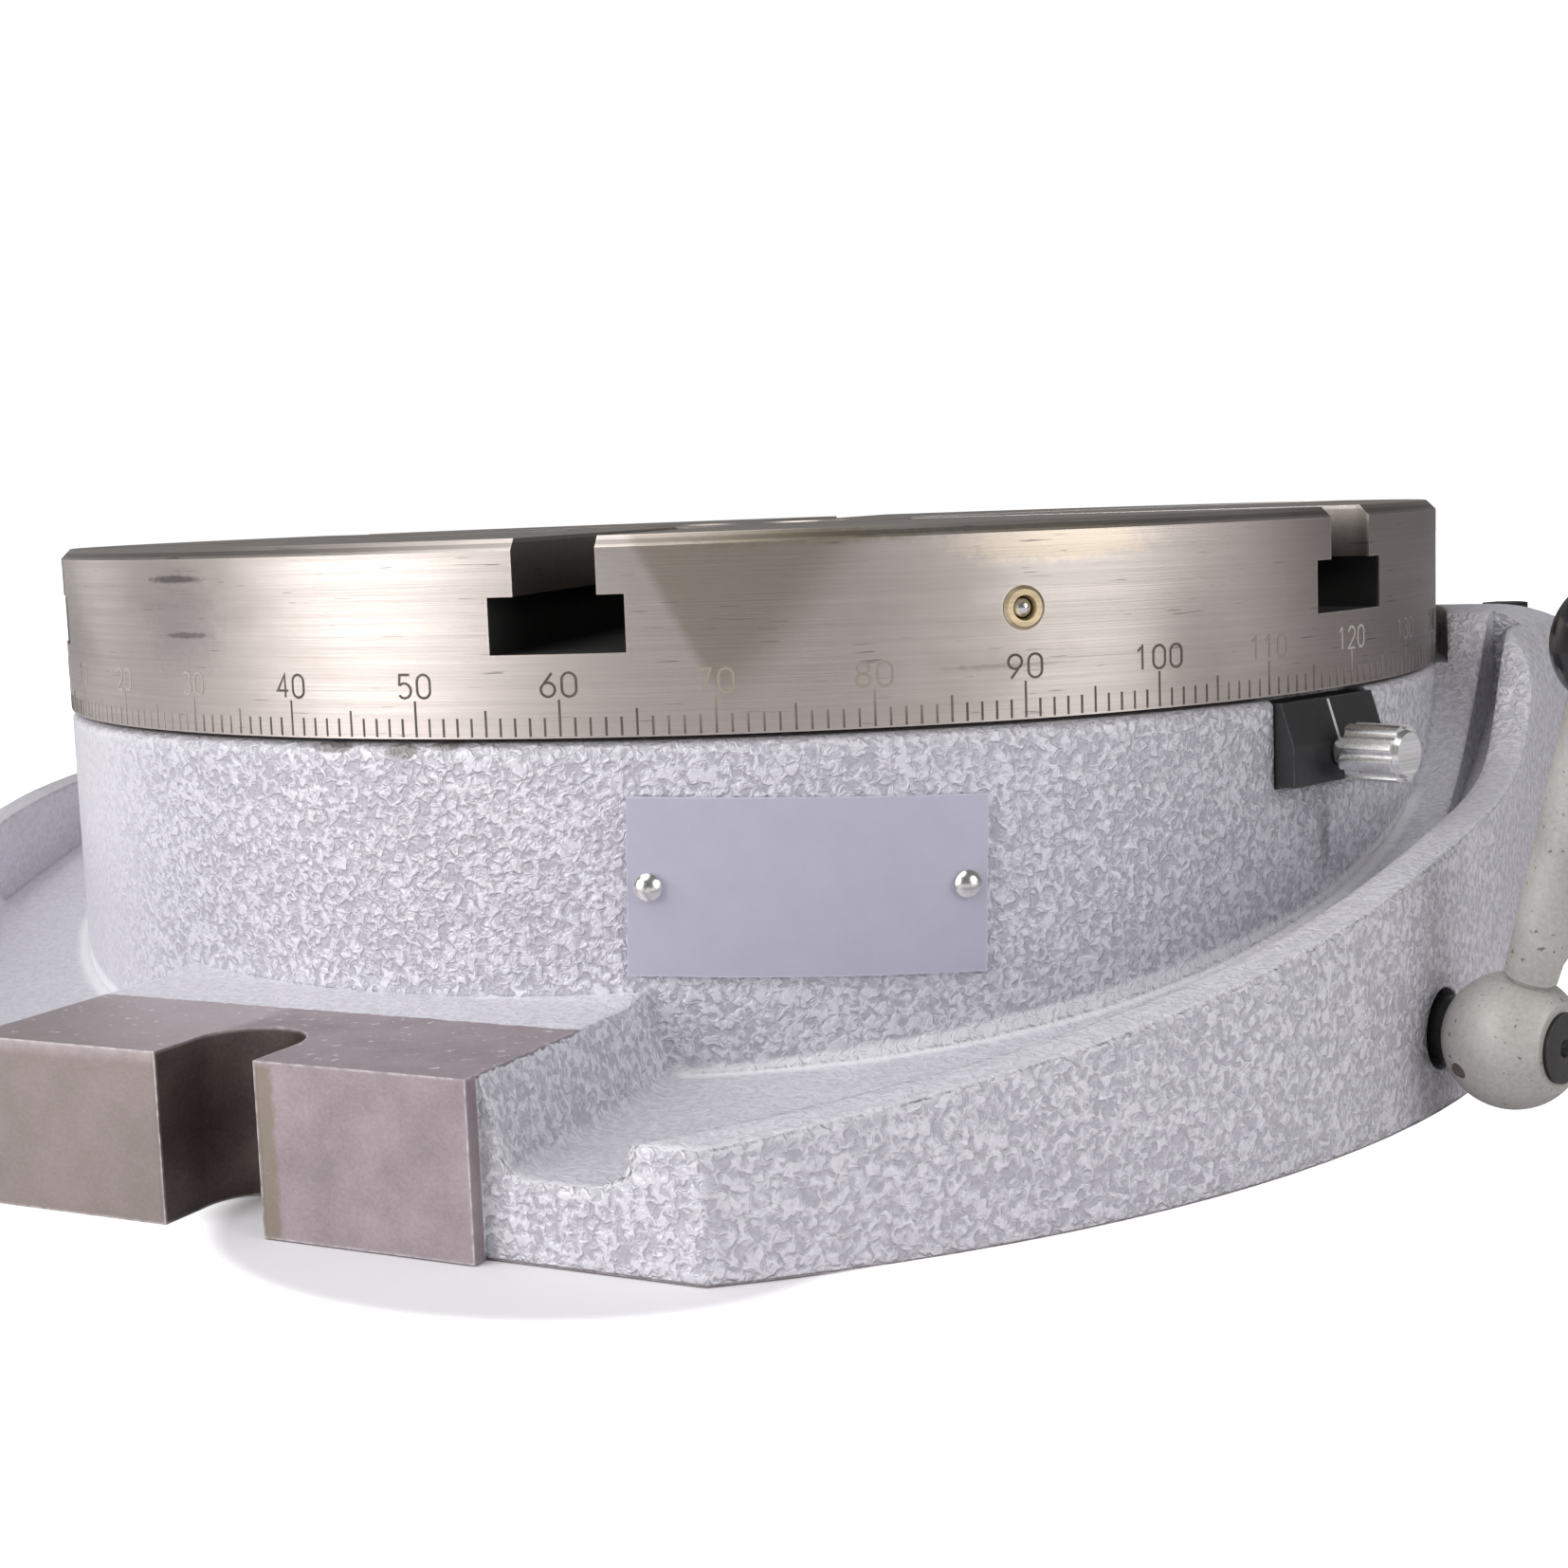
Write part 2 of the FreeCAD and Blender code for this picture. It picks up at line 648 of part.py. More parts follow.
def base_casting():
    front = -value("base_front")
    rear = value("base_rear")
    half = value("base_half_width")
    rim = value("rim_low")
    barrel_top = rim - value("rim_gap")
    barrel_radius = value("barrel_radius")

    barrel = cylinder(barrel_radius, Vector(0, 0, 0), barrel_top)
    barrel = barrel.makeFillet(value("barrel_edge_radius"), [barrel.Edges[0]])
    body = casting_block().cut(gutters())
    for groove in wall_groove().Solids:
        body = body.cut(groove)
    clear = cylinder(value("table_clearance_radius"), Vector(0, 0, barrel_top), WIDE_PAST)
    body = body.cut(clear)
    body = body.fuse([barrel, front_lug()])
    boss_radius = value("sleeve_radius + housing_wall")
    left_end = value("base_half_width - housing_inset")
    boss = cylinder(
        boss_radius, Vector(-left_end, SLEEVE_Y, WORM_Z), left_end + value(housing_end), Vector(1, 0, 0)
    )
    body = body.fuse(boss)
    way = cylinder(value("way_outer"), Vector(0, 0, PAST), rim - PAST)
    body = body.fuse(way)

    cuts = []
    # turned inside: wheel cavity round the centre boss, spindle bore and lower recesses
    cavity = cylinder(value("cavity_radius"), Vector(0, 0, value("cavity_floor")), rim)
    boss_post = cylinder(value("boss_radius"), Vector(0, 0, 0), value("boss_top"))
    cuts.append(cavity.cut(boss_post))
    cuts.append(cylinder(value("way_inner"), Vector(0, 0, barrel_top), PAST))
    for radius, top in (
        ("spindle_radius", "rim_low"),
        ("recess_radius", "spindle_low + retainer_gap"),
        ("cover_radius", "cover_inset + cover_thickness"),
    ):
        cuts.append(cylinder(value(radius), Vector(0, 0, -PAST), value(top) + PAST))
    # the worm housing bore and its left-hand counterbore
    bore_start = Vector(-value(cap_seat), SLEEVE_Y, WORM_Z)
    cuts.append(cylinder(
        value("sleeve_radius + running_gap"), bore_start, value(cap_seat) + value(housing_end) + PAST,
        Vector(1, 0, 0),
    ))
    cuts.append(cylinder(
        value("end_cap_radius + seat_gap"), Vector(-half - PAST, SLEEVE_Y, WORM_Z),
        half + PAST - value(cap_seat), Vector(1, 0, 0),
    ))
    # slots for clamping bolts, front and rear, and the sole for use upright
    lug_top = value("lug_height")
    cuts.append(clamp_slot(front, value("clamp_slot_depth"), -PAST, lug_top + PAST))
    rear_slot = clamp_slot(-rear, value("clamp_slot_depth"), -PAST, lug_top + PAST)
    rear_slot.rotate(Vector(), Vector(0, 0, 1), 180)
    cuts.append(rear_slot)
    relief = value("rear_relief_half_width")
    cuts.append(box(
        Vector(-relief, rear - value("rear_relief_depth"), lug_top),
        Vector(relief, rear + PAST, rim + WIDE_PAST),
    ))
    for side in (1, -1):
        slot_half = value("clamp_slot_width") / 2
        slot_end = half - value("foot_slot_length") + slot_half
        foot_front = rear - value("foot_thickness") - PAST
        upright = box(
            Vector(slot_end, foot_front, WORM_Z - slot_half),
            Vector(half + PAST, rear + PAST, WORM_Z + slot_half),
        )
        through = rear + PAST - foot_front
        upright = upright.fuse(
            cylinder(slot_half, Vector(slot_end, foot_front, WORM_Z), through, Vector(0, 1, 0))
        )
        pocket_front = rear - value("foot_thickness") - value("foot_pocket_depth")
        nut_space = box(
            Vector(half - value("foot_pocket_width"), pocket_front, value("cavity_floor")),
            Vector(half + PAST, rear - value("foot_thickness"), rim + WIDE_PAST),
        )
        if side < 0:
            upright = upright.mirror(Vector(), Vector(1, 0, 0))
            nut_space = nut_space.mirror(Vector(), Vector(1, 0, 0))
        cuts.append(upright)
        cuts.append(nut_space)
        cuts.append(clamp_bores(side))
    cuts.append(pointer_recess())
    # spot face and thread for the oil plug on the worm boss
    plug_x = value("oil_plug_station")
    cuts.append(cylinder(
        value("oil_plug_radius + spot_face_margin"),
        Vector(plug_x, SLEEVE_Y, WORM_Z + boss_radius - value("spot_face_depth")), WIDE_PAST,
    ))
    cuts.append(cylinder(
        value("oil_plug_thread_radius"), Vector(plug_x, SLEEVE_Y, WORM_Z), boss_radius + PAST
    ))
    small_radius = value("small_screw_radius")
    circle_radius = value("end_cap_screw_circle")
    for angle in spread("end_cap_screw_count", 90):
        spot = Vector(
            -value(cap_seat),
            SLEEVE_Y + circle_radius * math.cos(angle),
            WORM_Z + circle_radius * math.sin(angle),
        )
        cuts.append(cylinder(small_radius, spot, SMALL_HOLE_DEPTH, Vector(1, 0, 0)))
    for angle in spread("cover_screw_count"):
        spot = Vector(math.cos(angle), math.sin(angle), 0) * value(cover_circle)
        cuts.append(cylinder(small_radius, spot, SMALL_HOLE_DEPTH))
    body = body.cut(cuts)
    return feature("base_casting", solid_of(body))


def rotary_table():
    """The table: T-slotted disc and long spindle in one piece."""
    body = new_body("rotary_table")
    spindle = "spindle_radius - running_gap"
    revolve(body, [
        ("centre_bore_radius", rim_top),
        ("table_radius - table_chamfer", rim_top),
        ("table_radius", rim_top + " - table_chamfer"),
        ("table_radius", "rim_low"),
        (spindle, "rim_low"),
        (spindle, "spindle_low"),
        ("centre_bore_radius", "spindle_low"),
    ])
    slot = new_sketch(body, "XZ_Plane", "slot_inner_radius")
    lip_low = rim_top + " - slot_lip"
    slot_floor = rim_top + " - slot_lip - slot_head_height"
    outline(slot, [
        ("-slot_neck / 2", rim_top + " + 1"),
        ("-slot_neck / 2", lip_low),
        ("-slot_head / 2", lip_low),
        ("-slot_head / 2", slot_floor),
        ("slot_head / 2", slot_floor),
        ("slot_head / 2", lip_low),
        ("slot_neck / 2", lip_low),
        ("slot_neck / 2", rim_top + " + 1"),
    ])
    cut = pocket(body, slot, "table_radius", reverse=True)
    around(body, cut, "slot_count")
    screws = new_sketch(body, "XY_Plane", "rim_low")
    circle(screws, "wheel_screw_circle", 0, "screw_radius + seat_gap")
    holes = pocket(body, screws, "wheel_screw_reach + 1", reverse=True)
    around(body, holes, "wheel_screw_count")
    retainers = new_sketch(body, "XY_Plane", "spindle_low")
    circle(retainers, "retainer_screw_circle", 0, "screw_radius + seat_gap")
    holes = pocket(body, retainers, "retainer_screw_length", reverse=True)
    around(body, holes, "retainer_screw_count")
    nipple = new_sketch(body, "XZ_Plane")
    turn = Rotation(Vector(0, 1, 0), value("nipple_bearing - slot_bearing"))
    depth = value("table_radius") - 8
    nipple.AttachmentOffset = Placement(turn.multVec(Vector(0, 0, depth)), turn)
    circle(nipple, 0, "nipple_height", "nipple_radius + seat_gap")
    pocket(body, nipple, "20", reverse=True)
    body.Placement = Placement(Vector(), Rotation(Vector(0, 0, 1), SLOT_BEARING))
    return body


def centre_sleeve():
    """The hardened sleeve with a straight register above its taper."""
    body = new_body("centre_sleeve")
    outer = "centre_bore_radius - seat_gap"
    taper_top = rim_top + " - register_depth"
    taper_end = "taper_radius - taper_half_slope * (%s - spindle_low)" % taper_top
    revolve(body, [
        (outer, rim_top + " - 1"),
        (outer, "spindle_low"),
        (taper_end, "spindle_low"),
        ("taper_radius", taper_top),
        ("register_radius", taper_top),
        ("register_radius", rim_top + " - 1"),
    ])
    return body


def oil_nipple():
    """The press-in ball oiler on the rim: a brass cup and its steel ball."""
    radius = value("table_radius")
    place = Placement(
        out_at(value("nipple_bearing"), radius, value("nipple_height")), bearing_turn(value("nipple_bearing"))
    )
    cup = new_body("oil_nipple_cup")
    revolve(cup, [
        ("-7.9", 0), ("-7.9", "nipple_radius"), ("0.1", "nipple_radius"), ("0.45", "nipple_radius - 0.5"),
        ("0.45", "nipple_radius - 1.3"), ("-0.6", "1.5"), ("-3", "1.5"), ("-3", 0),
    ], axis="H_Axis")
    cup.Placement = place
    ball = doc.addObject("Part::Sphere", "oil_nipple_ball")
    ball.Label = "oil_nipple_ball"
    bind(ball, "Radius", "nipple_ball_radius")
    ball.Placement = place.multiply(Placement(Vector(-1.1, 0, 0), Rotation()))
    return [cup, ball]


def tooth_wire(height, turn):
    """The outline of the wheel's teeth at one height, turned by the helix."""
    module = value("gear_module")
    teeth = int(value("wheel_teeth"))
    pitch_radius = module * teeth / 2
    tip = pitch_radius + module
    root = pitch_radius - 1.25 * module
    slope = math.tan(math.radians(value("flank_angle")))
    half_gap = module * math.pi / 4 + value("tooth_thinning") / 2
    gap_at_tip = half_gap + module * slope
    gap_at_root = half_gap - 1.25 * module * slope
    spots = []
    for index in range(teeth):
        middle = 2 * math.pi * index / teeth + math.pi / 2 + turn
        for radius, half in (
            (tip, -gap_at_tip), (root, -gap_at_root), (root, gap_at_root), (tip, gap_at_tip)
        ):
            angle = middle + half / radius
            spots.append(Vector(radius * math.cos(angle), radius * math.sin(angle), height))
    return Part.makePolygon(spots + spots[:1])


def worm_wheel():
    """The bronze worm wheel: teeth set over by the worm's lead angle, hub ring up to the table."""
    low = value(wheel_low)
    high = value(wheel_high)
    module = value("gear_module")
    pitch_radius = module * value("wheel_teeth") / 2
    lead_slope = module / (2 * value("worm_pitch_radius"))
    twist = value("wheel_width") / 2 * lead_slope / pitch_radius
    seat = value("rim_low")
    blank = Part.makeLoft([tooth_wire(low, -twist), tooth_wire(high, twist)], True, True)
    blank = blank.fuse(cylinder(value("wheel_seat_radius"), Vector(0, 0, low), seat - low))
    bore = cylinder(value("wheel_bore_radius"), Vector(0, 0, low - PAST), seat - low + 2 * PAST)
    cuts = [bore]
    for angle in spread("wheel_screw_count", SLOT_BEARING):
        spot = Vector(math.cos(angle), math.sin(angle), 0) * value("wheel_screw_circle")
        spot.z = low - PAST
        cuts.append(cylinder(value("screw_hole_radius"), spot, seat - low + 2 * PAST))
        cuts.append(cylinder(value("screw_head_hole_radius"), spot, PAST + value("wheel_screw_sink")))
    return feature("worm_wheel", solid_of(blank.cut(cuts)))


def screw(head_radius, head_height, shank_radius, shank_length, socket=0.0):
    """A cap screw along +Z: head below z 0, shank above, hexagon socket in the head."""
    head = cylinder(head_radius, Vector(0, 0, -head_height), head_height)
    body = head.fuse(cylinder(shank_radius, Vector(0, 0, -0.5), shank_length + 0.5))
    if socket:
        corners = [math.radians(60 * index) for index in range(6)]
        spots = [
            Vector(socket * math.cos(angle), socket * math.sin(angle), -head_height) for angle in corners
        ]
        recess = Part.Face(Part.makePolygon(spots + spots[:1])).extrude(Vector(0, 0, head_height / 2))
        body = body.cut(recess)
    return solid_of(body.removeSplitter())


def screw_circle(label, shape, count, radius, height, start=0.0):
    """A ring of like screws round the table's axis, as one group of separate solids."""
    solids = []
    for angle in spread(count, start):
        one = shape.copy()
        one.translate(Vector(radius * math.cos(angle), radius * math.sin(angle), height))
        solids.append(one)
    return feature(label, Part.makeCompound(solids))


def table_fasteners():
    """The screws that hold the worm wheel, and those that hold the retainer plate, to the table."""
    head = value("screw_head_radius")
    shank = value("screw_radius")
    low = value(wheel_low + " + wheel_screw_sink")
    wheel_screw = screw(head, 5.6, shank, value("rim_low + wheel_screw_reach") - low, 2.9)
    made = [screw_circle(
        "worm_wheel_screws", wheel_screw, "wheel_screw_count", value("wheel_screw_circle"), low, SLOT_BEARING
    )]
    retainer_screw = screw(head, 4, shank, value("retainer_screw_length"), 2.9)
    made.append(screw_circle(
        "retainer_screws", retainer_screw, "retainer_screw_count", value("retainer_screw_circle"),
        value(retainer_low) + 4, SLOT_BEARING,
    ))
    return made


def retainer_plate():
    """The plate that holds the spindle down in the casting."""
    body = new_body("retainer_plate")
    revolve(body, [
        ("centre_bore_radius - 4", "spindle_low"), ("retainer_radius", "spindle_low"),
        ("retainer_radius", retainer_low), ("centre_bore_radius - 4", retainer_low),
    ])
    holes = new_sketch(body, "XY_Plane", retainer_low)
    circle(holes, "retainer_screw_circle", 0, "screw_hole_radius")
    through = pocket(body, holes, "retainer_thickness + 1", reverse=True)
    around(body, through, "retainer_screw_count")
    heads = new_sketch(body, "XY_Plane", retainer_low)
    circle(heads, "retainer_screw_circle", 0, "screw_head_hole_radius")
    sunk = pocket(body, heads, "4", reverse=True)
    around(body, sunk, "retainer_screw_count")
    body.Placement = Placement(Vector(), Rotation(Vector(0, 0, 1), SLOT_BEARING))
    return body


def bottom_cover():
    body = new_body("bottom_cover")
    low = "cover_inset"
    high = "cover_inset + cover_thickness"
    revolve(body, [
        ("cover_hole_radius", high), ("cover_radius - free_gap", high),
        ("cover_radius - free_gap", low), ("cover_hole_radius", low),
    ])
    holes = new_sketch(body, "XY_Plane", low)
    circle(holes, cover_circle, 0, "small_screw_hole_radius")
    around(body, pocket(body, holes, "cover_thickness + 2", reverse=True), "cover_screw_count")
    cover_screw = screw(value("small_screw_head_radius"), 0.5, value("small_screw_radius - seat_gap"), 6)
    screws = screw_circle(
        "bottom_cover_screws", cover_screw, "cover_screw_count", value(cover_circle), value("cover_inset")
    )
    return [body, screws]


def end_cap():
    """The cap over the left end of the worm housing, with three screws."""
    body = new_body("end_cap")
    revolve(body, [
        (0, 0), (0, "end_cap_radius"), ("-end_cap_thickness", "end_cap_radius"),
        ("-end_cap_thickness", 0),
    ], axis="H_Axis")
    holes = new_sketch(body, "YZ_Plane", "-end_cap_thickness")
    circle(holes, 0, "end_cap_screw_circle", "small_screw_hole_radius")
    around(body, pocket(body, holes, "end_cap_thickness + 1", reverse=True), "end_cap_screw_count", "X_Axis")
    body.Placement = Placement(
        Vector(-value(cap_seat), SLEEVE_Y, WORM_Z), Rotation()
    )
    solids = []
    for angle in spread("end_cap_screw_count", 90):
        one = screw(value("small_screw_head_radius"), 2, value("small_screw_radius - seat_gap"), 12, 1.3)
        one.rotate(Vector(), Vector(0, 1, 0), 90)
        one.translate(Vector(
            -value(cap_seat + " + end_cap_thickness"),
            SLEEVE_Y + value("end_cap_screw_circle") * math.cos(angle),
            WORM_Z + value("end_cap_screw_circle") * math.sin(angle),
        ))
        solids.append(one)
    return [body, feature("end_cap_screws", Part.makeCompound(solids))]


def oil_plug():
    """The hexagon-headed filler plug on top of the worm boss."""
    body = new_body("oil_plug")
    head = new_sketch(body, "XY_Plane")
    polygon(head, "0", "0", "oil_plug_radius", 6)
    pad(body, head, "oil_plug_rise")
    stem = new_sketch(body, "XY_Plane")
    circle(stem, 0, 0, "oil_plug_thread_radius - seat_gap")
    pad(body, stem, "oil_plug_thread_length", reverse=True)
    seat = value("worm_height + sleeve_radius + housing_wall - spot_face_depth")
    body.Placement = Placement(Vector(value("oil_plug_station"), SLEEVE_Y, seat), Rotation())
    return body


def nameplate():
    """The bare plate bent round the barrel, set a little askew, and its two rivets."""
    radius = value("barrel_radius + plate_film")
    thickness = value("plate_thickness")
    shell = cylinder(radius + thickness, Vector(0, 0, 0), 80).cut(cylinder(radius, Vector(0, 0, 0), 80))
    half = value("plate_width") / 2
    rise = value("plate_height") / 2
    blank = box(Vector(radius - 20, -half, -rise), Vector(radius + 5, half, rise))
    blank.rotate(Vector(), Vector(1, 0, 0), -value("plate_tilt"))
    blank.translate(Vector(0, 0, value("plate_middle")))
    plate = solid_of(shell.common(blank))
    turn = Placement(Vector(), bearing_turn(value("plate_bearing")))
    made = [feature("nameplate", plate, turn)]
    rivets = []
    for side in (-1, 1):
        reach = value("rivet_reach") * side
        swing = math.degrees(reach / radius)
        ball = Part.makeSphere(value("rivet_radius") * 1.25)
        dome = ball.common(cylinder(value("rivet_radius"), Vector(0, 0, 0.75), 5, Vector(0, 0, 1)))
        dome = dome.cut(box(Vector(-5, -5, -5), Vector(5, 5, 0.75)))
        dome.rotate(Vector(), Vector(0, 1, 0), 90)
        drop = -math.tan(math.radians(value("plate_tilt"))) * reach
        dome.translate(Vector(radius + thickness - 0.75, 0, value("plate_middle") + drop))
        dome.rotate(Vector(), Vector(0, 0, 1), swing)
        rivets.append(solid_of(dome))
    made.append(feature("nameplate_rivets", Part.makeCompound(rivets), turn))
    return made


def pointer_block():
    """The black zero pointer in the barrel recess, its top sloped up to the scale."""
    body = new_body("pointer_block")
    side = new_sketch(body, "XZ_Plane", "-pointer_width / 2")
    top = "rim_low - rim_gap - 0.4"
    outline(side, [
        (pointer_back, "pointer_low"),
        (pointer_front, "pointer_low"),
        (pointer_front, "pointer_low + pointer_face"),
        ("barrel_radius + 0.4", top),
        (pointer_back, top),
    ])
    pad(body, side, "pointer_width")
    hole = new_sketch(body, "YZ_Plane", pointer_back + " - 1")
    circle(hole, 0, "pointer_knob_height", "pointer_screw_radius + running_gap")
    pocket(body, hole, "20", reverse=True)
    body.Placement = Placement(Vector(), bearing_turn(value("pointer_bearing")))
    return body


def pointer_knob():
    """The fluted thumb knob that clamps the pointer, with its thin screw."""
    flutes = 8
    radius = value("pointer_knob_radius")
    length = value("pointer_knob_length")
    knob = cylinder(radius, Vector(0, 0, 0), length)
    cuts = []
    for index in range(flutes):
        angle = 2 * math.pi * index / flutes
        spot = Vector(math.cos(angle), math.sin(angle), 0) * (radius + 0.35)
        cuts.append(cylinder(1.05, spot + Vector(0, 0, -1), length + 2))
    knob = knob.cut(cuts)
    crown = Part.makeCone(radius + 3, radius - 1.2, length + 0.2)
    knob = knob.common(crown.fuse(cylinder(radius + 1, Vector(0, 0, 0), length - 0.8)))
    neck = cylinder(2.3, Vector(0, 0, -2), 2.2)
    stem = cylinder(value("pointer_screw_radius"), Vector(0, 0, -9), 7.2)
    shape = solid_of(knob.fuse([neck, stem]).removeSplitter())
    shape.rotate(Vector(), Vector(0, 1, 0), 90)
    stand = value(pointer_front) + 2.3
    bearing = value("pointer_bearing")
    shape.translate(Vector(stand, 0, value("pointer_knob_height")))
    return feature("pointer_knob", shape, Placement(Vector(), bearing_turn(bearing)))


def eccentric_sleeve():
    """The sleeve that carries the worm off-centre and swings it out of the wheel."""
    outer = value("sleeve_radius")
    left = value("sleeve_left")
    face = value(flange_face)
    chamber = value(worm_chamber)
    offset = Vector(0, -value("sleeve_offset"), 0)
    axis = Vector(1, 0, 0)
    bush_seat = value("thread_half_length + thrust_collar_width + free_gap + bush_length")
    body = cylinder(outer, Vector(-left, 0, 0), left + face, axis)
    flange = cylinder(
        value("sleeve_flange_radius"), Vector(value(housing_end), 0, 0), value("sleeve_flange_width"), axis
    )
    cuts = [
        cylinder(chamber, Vector(-left - 1, 0, 0) + offset, left + 1 + bush_seat, axis),
        cylinder(value("journal_radius") + 2, Vector(0, 0, 0) + offset, face + 5, axis),
    ]
    # the window clears the wheel at every setting of the sleeve
    reach = value("window_half_length")
    sector = [
        Vector(-reach, 0, 0),
        Vector(-reach, -40, -38),
        Vector(-reach, -70, 0),
        Vector(-reach, -40, 60),
        Vector(-reach, 40, 42),
    ]
    turned = [Vector(v.x, v.y, -v.z) for v in sector]
    window = Part.Face(Part.makePolygon(turned + turned[:1])).extrude(Vector(2 * reach, 0, 0))
    cuts.append(window)
    rod_hole = cylinder(
        value("release_rod_radius + seat_gap"),
        Vector(value(housing_end + " + sleeve_flange_width / 2"), 0, value("sleeve_flange_radius") - 8),
        20,
    )
    shape = body.fuse(flange).cut(cuts + [rod_hole])
    return feature("eccentric_sleeve", solid_of(shape), SLEEVE_PLACE)


def bushes():
    """The bronze bushes of the worm, the nut behind them and the outer bush."""
    bore = "journal_radius + running_gap"
    chamber = worm_chamber + " - seat_gap"
    start = "thread_half_length + thrust_collar_width + free_gap"
    made = []
    inner = new_body("worm_bush_right")
    revolve(inner, [
        (start, bore), (start, chamber),
        (start + " + bush_length", chamber), (start + " + bush_length", bore),
    ], axis="H_Axis")
    left = new_body("worm_bush_left")
    revolve(left, [
        ("-(%s)" % start, bore), ("-(%s)" % start, chamber),
        ("-(%s + bush_length)" % start, chamber), ("-(%s + bush_length)" % start, bore),
    ], axis="H_Axis")
    outer = new_body("worm_bush_outer")
    revolve(outer, [
        (housing_end + " - bush_length", bore),
        (housing_end + " - bush_length", "journal_radius + 2 - seat_gap"),
        (flange_face, "journal_radius + 2 - seat_gap"), (flange_face, bore),
    ], axis="H_Axis")
    nut = new_body("bearing_nut")
    nut_start = "-(%s + bush_length)" % start
    revolve(nut, [
        (nut_start, bore + " + 0.5"), (nut_start, chamber),
        (nut_start + " - 9", chamber), (nut_start + " - 9", bore + " + 0.5"),
    ], axis="H_Axis")
    holes = new_sketch(nut, "YZ_Plane", nut_start + " - 9")
    circle(holes, 0, "13.3", "1.5")
    around(nut, pocket(nut, holes, "5", reverse=True), "2", "X_Axis")
    for body in (inner, left, outer, nut):
        body.Placement = WORM_PLACE
        made.append(body)
    return made


def vernier_collar():
    """The fixed collar with the zero line beside the dial."""
    body = new_body("vernier_collar")
    face = flange_face + " + collar_width"
    revolve(body, [
        (flange_face, "journal_radius + 2"), (flange_face, "collar_radius"),
        (face + " - 0.8", "collar_radius"), (face, "collar_radius - 0.8"), (face, "journal_radius + 2"),
    ], axis="H_Axis")
    body.Placement = WORM_PLACE
    return body


def release_lever():
    """The rod and ball that swing the eccentric sleeve."""
    station = value(housing_end + " + sleeve_flange_width / 2")
    low = value("sleeve_flange_radius") - 7.8
    rod = new_body("release_rod")
    revolve(rod, [
        (0, 0), ("release_rod_radius", 0), ("release_rod_radius", "release_rod_length"),
        (0, "release_rod_length"),
    ])
    rod.Placement = Placement(Vector(station, SLEEVE_Y, WORM_Z + low), Rotation())
    radius = value("release_ball_radius")
    ball = Part.makeSphere(radius)
    flat = box(Vector(-9, -9, -9), Vector(9, 9, -radius + 1.2))
    hole = cylinder(value("release_rod_radius + seat_gap"), Vector(0, 0, -9), 9)
    ball = solid_of(ball.cut([flat, hole]))
    top = WORM_Z + low + value("release_rod_length")
    return [rod, feature("release_ball", ball, Placement(Vector(station, SLEEVE_Y, top), Rotation()))]


def worm_thread():
    """The trapezoidal right-hand thread of the worm along +X."""
    module = value("gear_module")
    lead = math.pi * module
    pitch_radius = value("worm_pitch_radius")
    slope = math.tan(math.radians(value("flank_angle")))
    half = lead / 4 - value("tooth_thinning") / 2
    tip = pitch_radius + module
    root = pitch_radius - 1.2 * module - value("thread_sink")
    turns = value("thread_turns")
    length = lead * turns
    helix = Part.makeHelix(lead, length, pitch_radius)
    half_tip = half - (tip - pitch_radius) * slope
    half_root = half + (pitch_radius - root) * slope
    spots = [
        Vector(root, 0, -half_root), Vector(tip, 0, -half_tip),
        Vector(tip, 0, half_tip), Vector(root, 0, half_root),
    ]
    section = Part.makePolygon(spots + spots[:1])
    sweep = Part.BRepOffsetAPI.MakePipeShell(Part.Wire(helix.Edges))
    sweep.setFrenetMode(True)
    sweep.add(section)
    sweep.build()
    sweep.makeSolid()
    thread = sweep.shape()
    thread.translate(Vector(0, 0, -length / 2))
    # turn the thread until it fills the wheel's tooth space at the middle of the worm
    thread.rotate(Vector(), Vector(0, 0, 1), 360 * (0.75 - turns / 2))
    return thread


def worm_shaft():
    """The worm and its long shaft to the handwheel."""
    half = value("thread_half_length")
    root = value("worm_pitch_radius - 1.2 * gear_module")
    journal = value("journal_radius")
    collar = value("thrust_collar_radius")
    width = value("thrust_collar_width")
    end = value("shaft_end_radius")
    shoulder = value(dial_start)
    tail = value(hub_front) + 9
    steps = [
        (-value("worm_end"), 0), (-value("worm_end"), journal - 1), (-value("worm_end") + 1, journal),
        (-half - width, journal), (-half - width, collar), (-half, collar), (-half, root),
        (half, root), (half, collar), (half + width, collar), (half + width, journal),
        (shoulder, journal), (shoulder, end), (tail - 1, end), (tail, end - 1), (tail, 0),
    ]
    spots = [Vector(radius, 0, along) for along, radius in steps]
    shaft = Part.Face(Part.makePolygon(spots + spots[:1])).revolve(Vector(), Vector(0, 0, 1), 360)
    shaft = Part.Solid(shaft) if shaft.ShapeType != "Solid" else shaft
    whole = shaft.fuse(worm_thread())
    half_key = value("key_width") / 2
    key_seat = box(
        Vector(-end - 2, -half_key, shoulder + 8), Vector(2.5 - end, half_key, shoulder + 24)
    )
    whole = solid_of(whole.cut(key_seat))
    whole.rotate(Vector(), Vector(0, 1, 0), 90)
    return feature("worm_shaft", whole, WORM_PLACE)


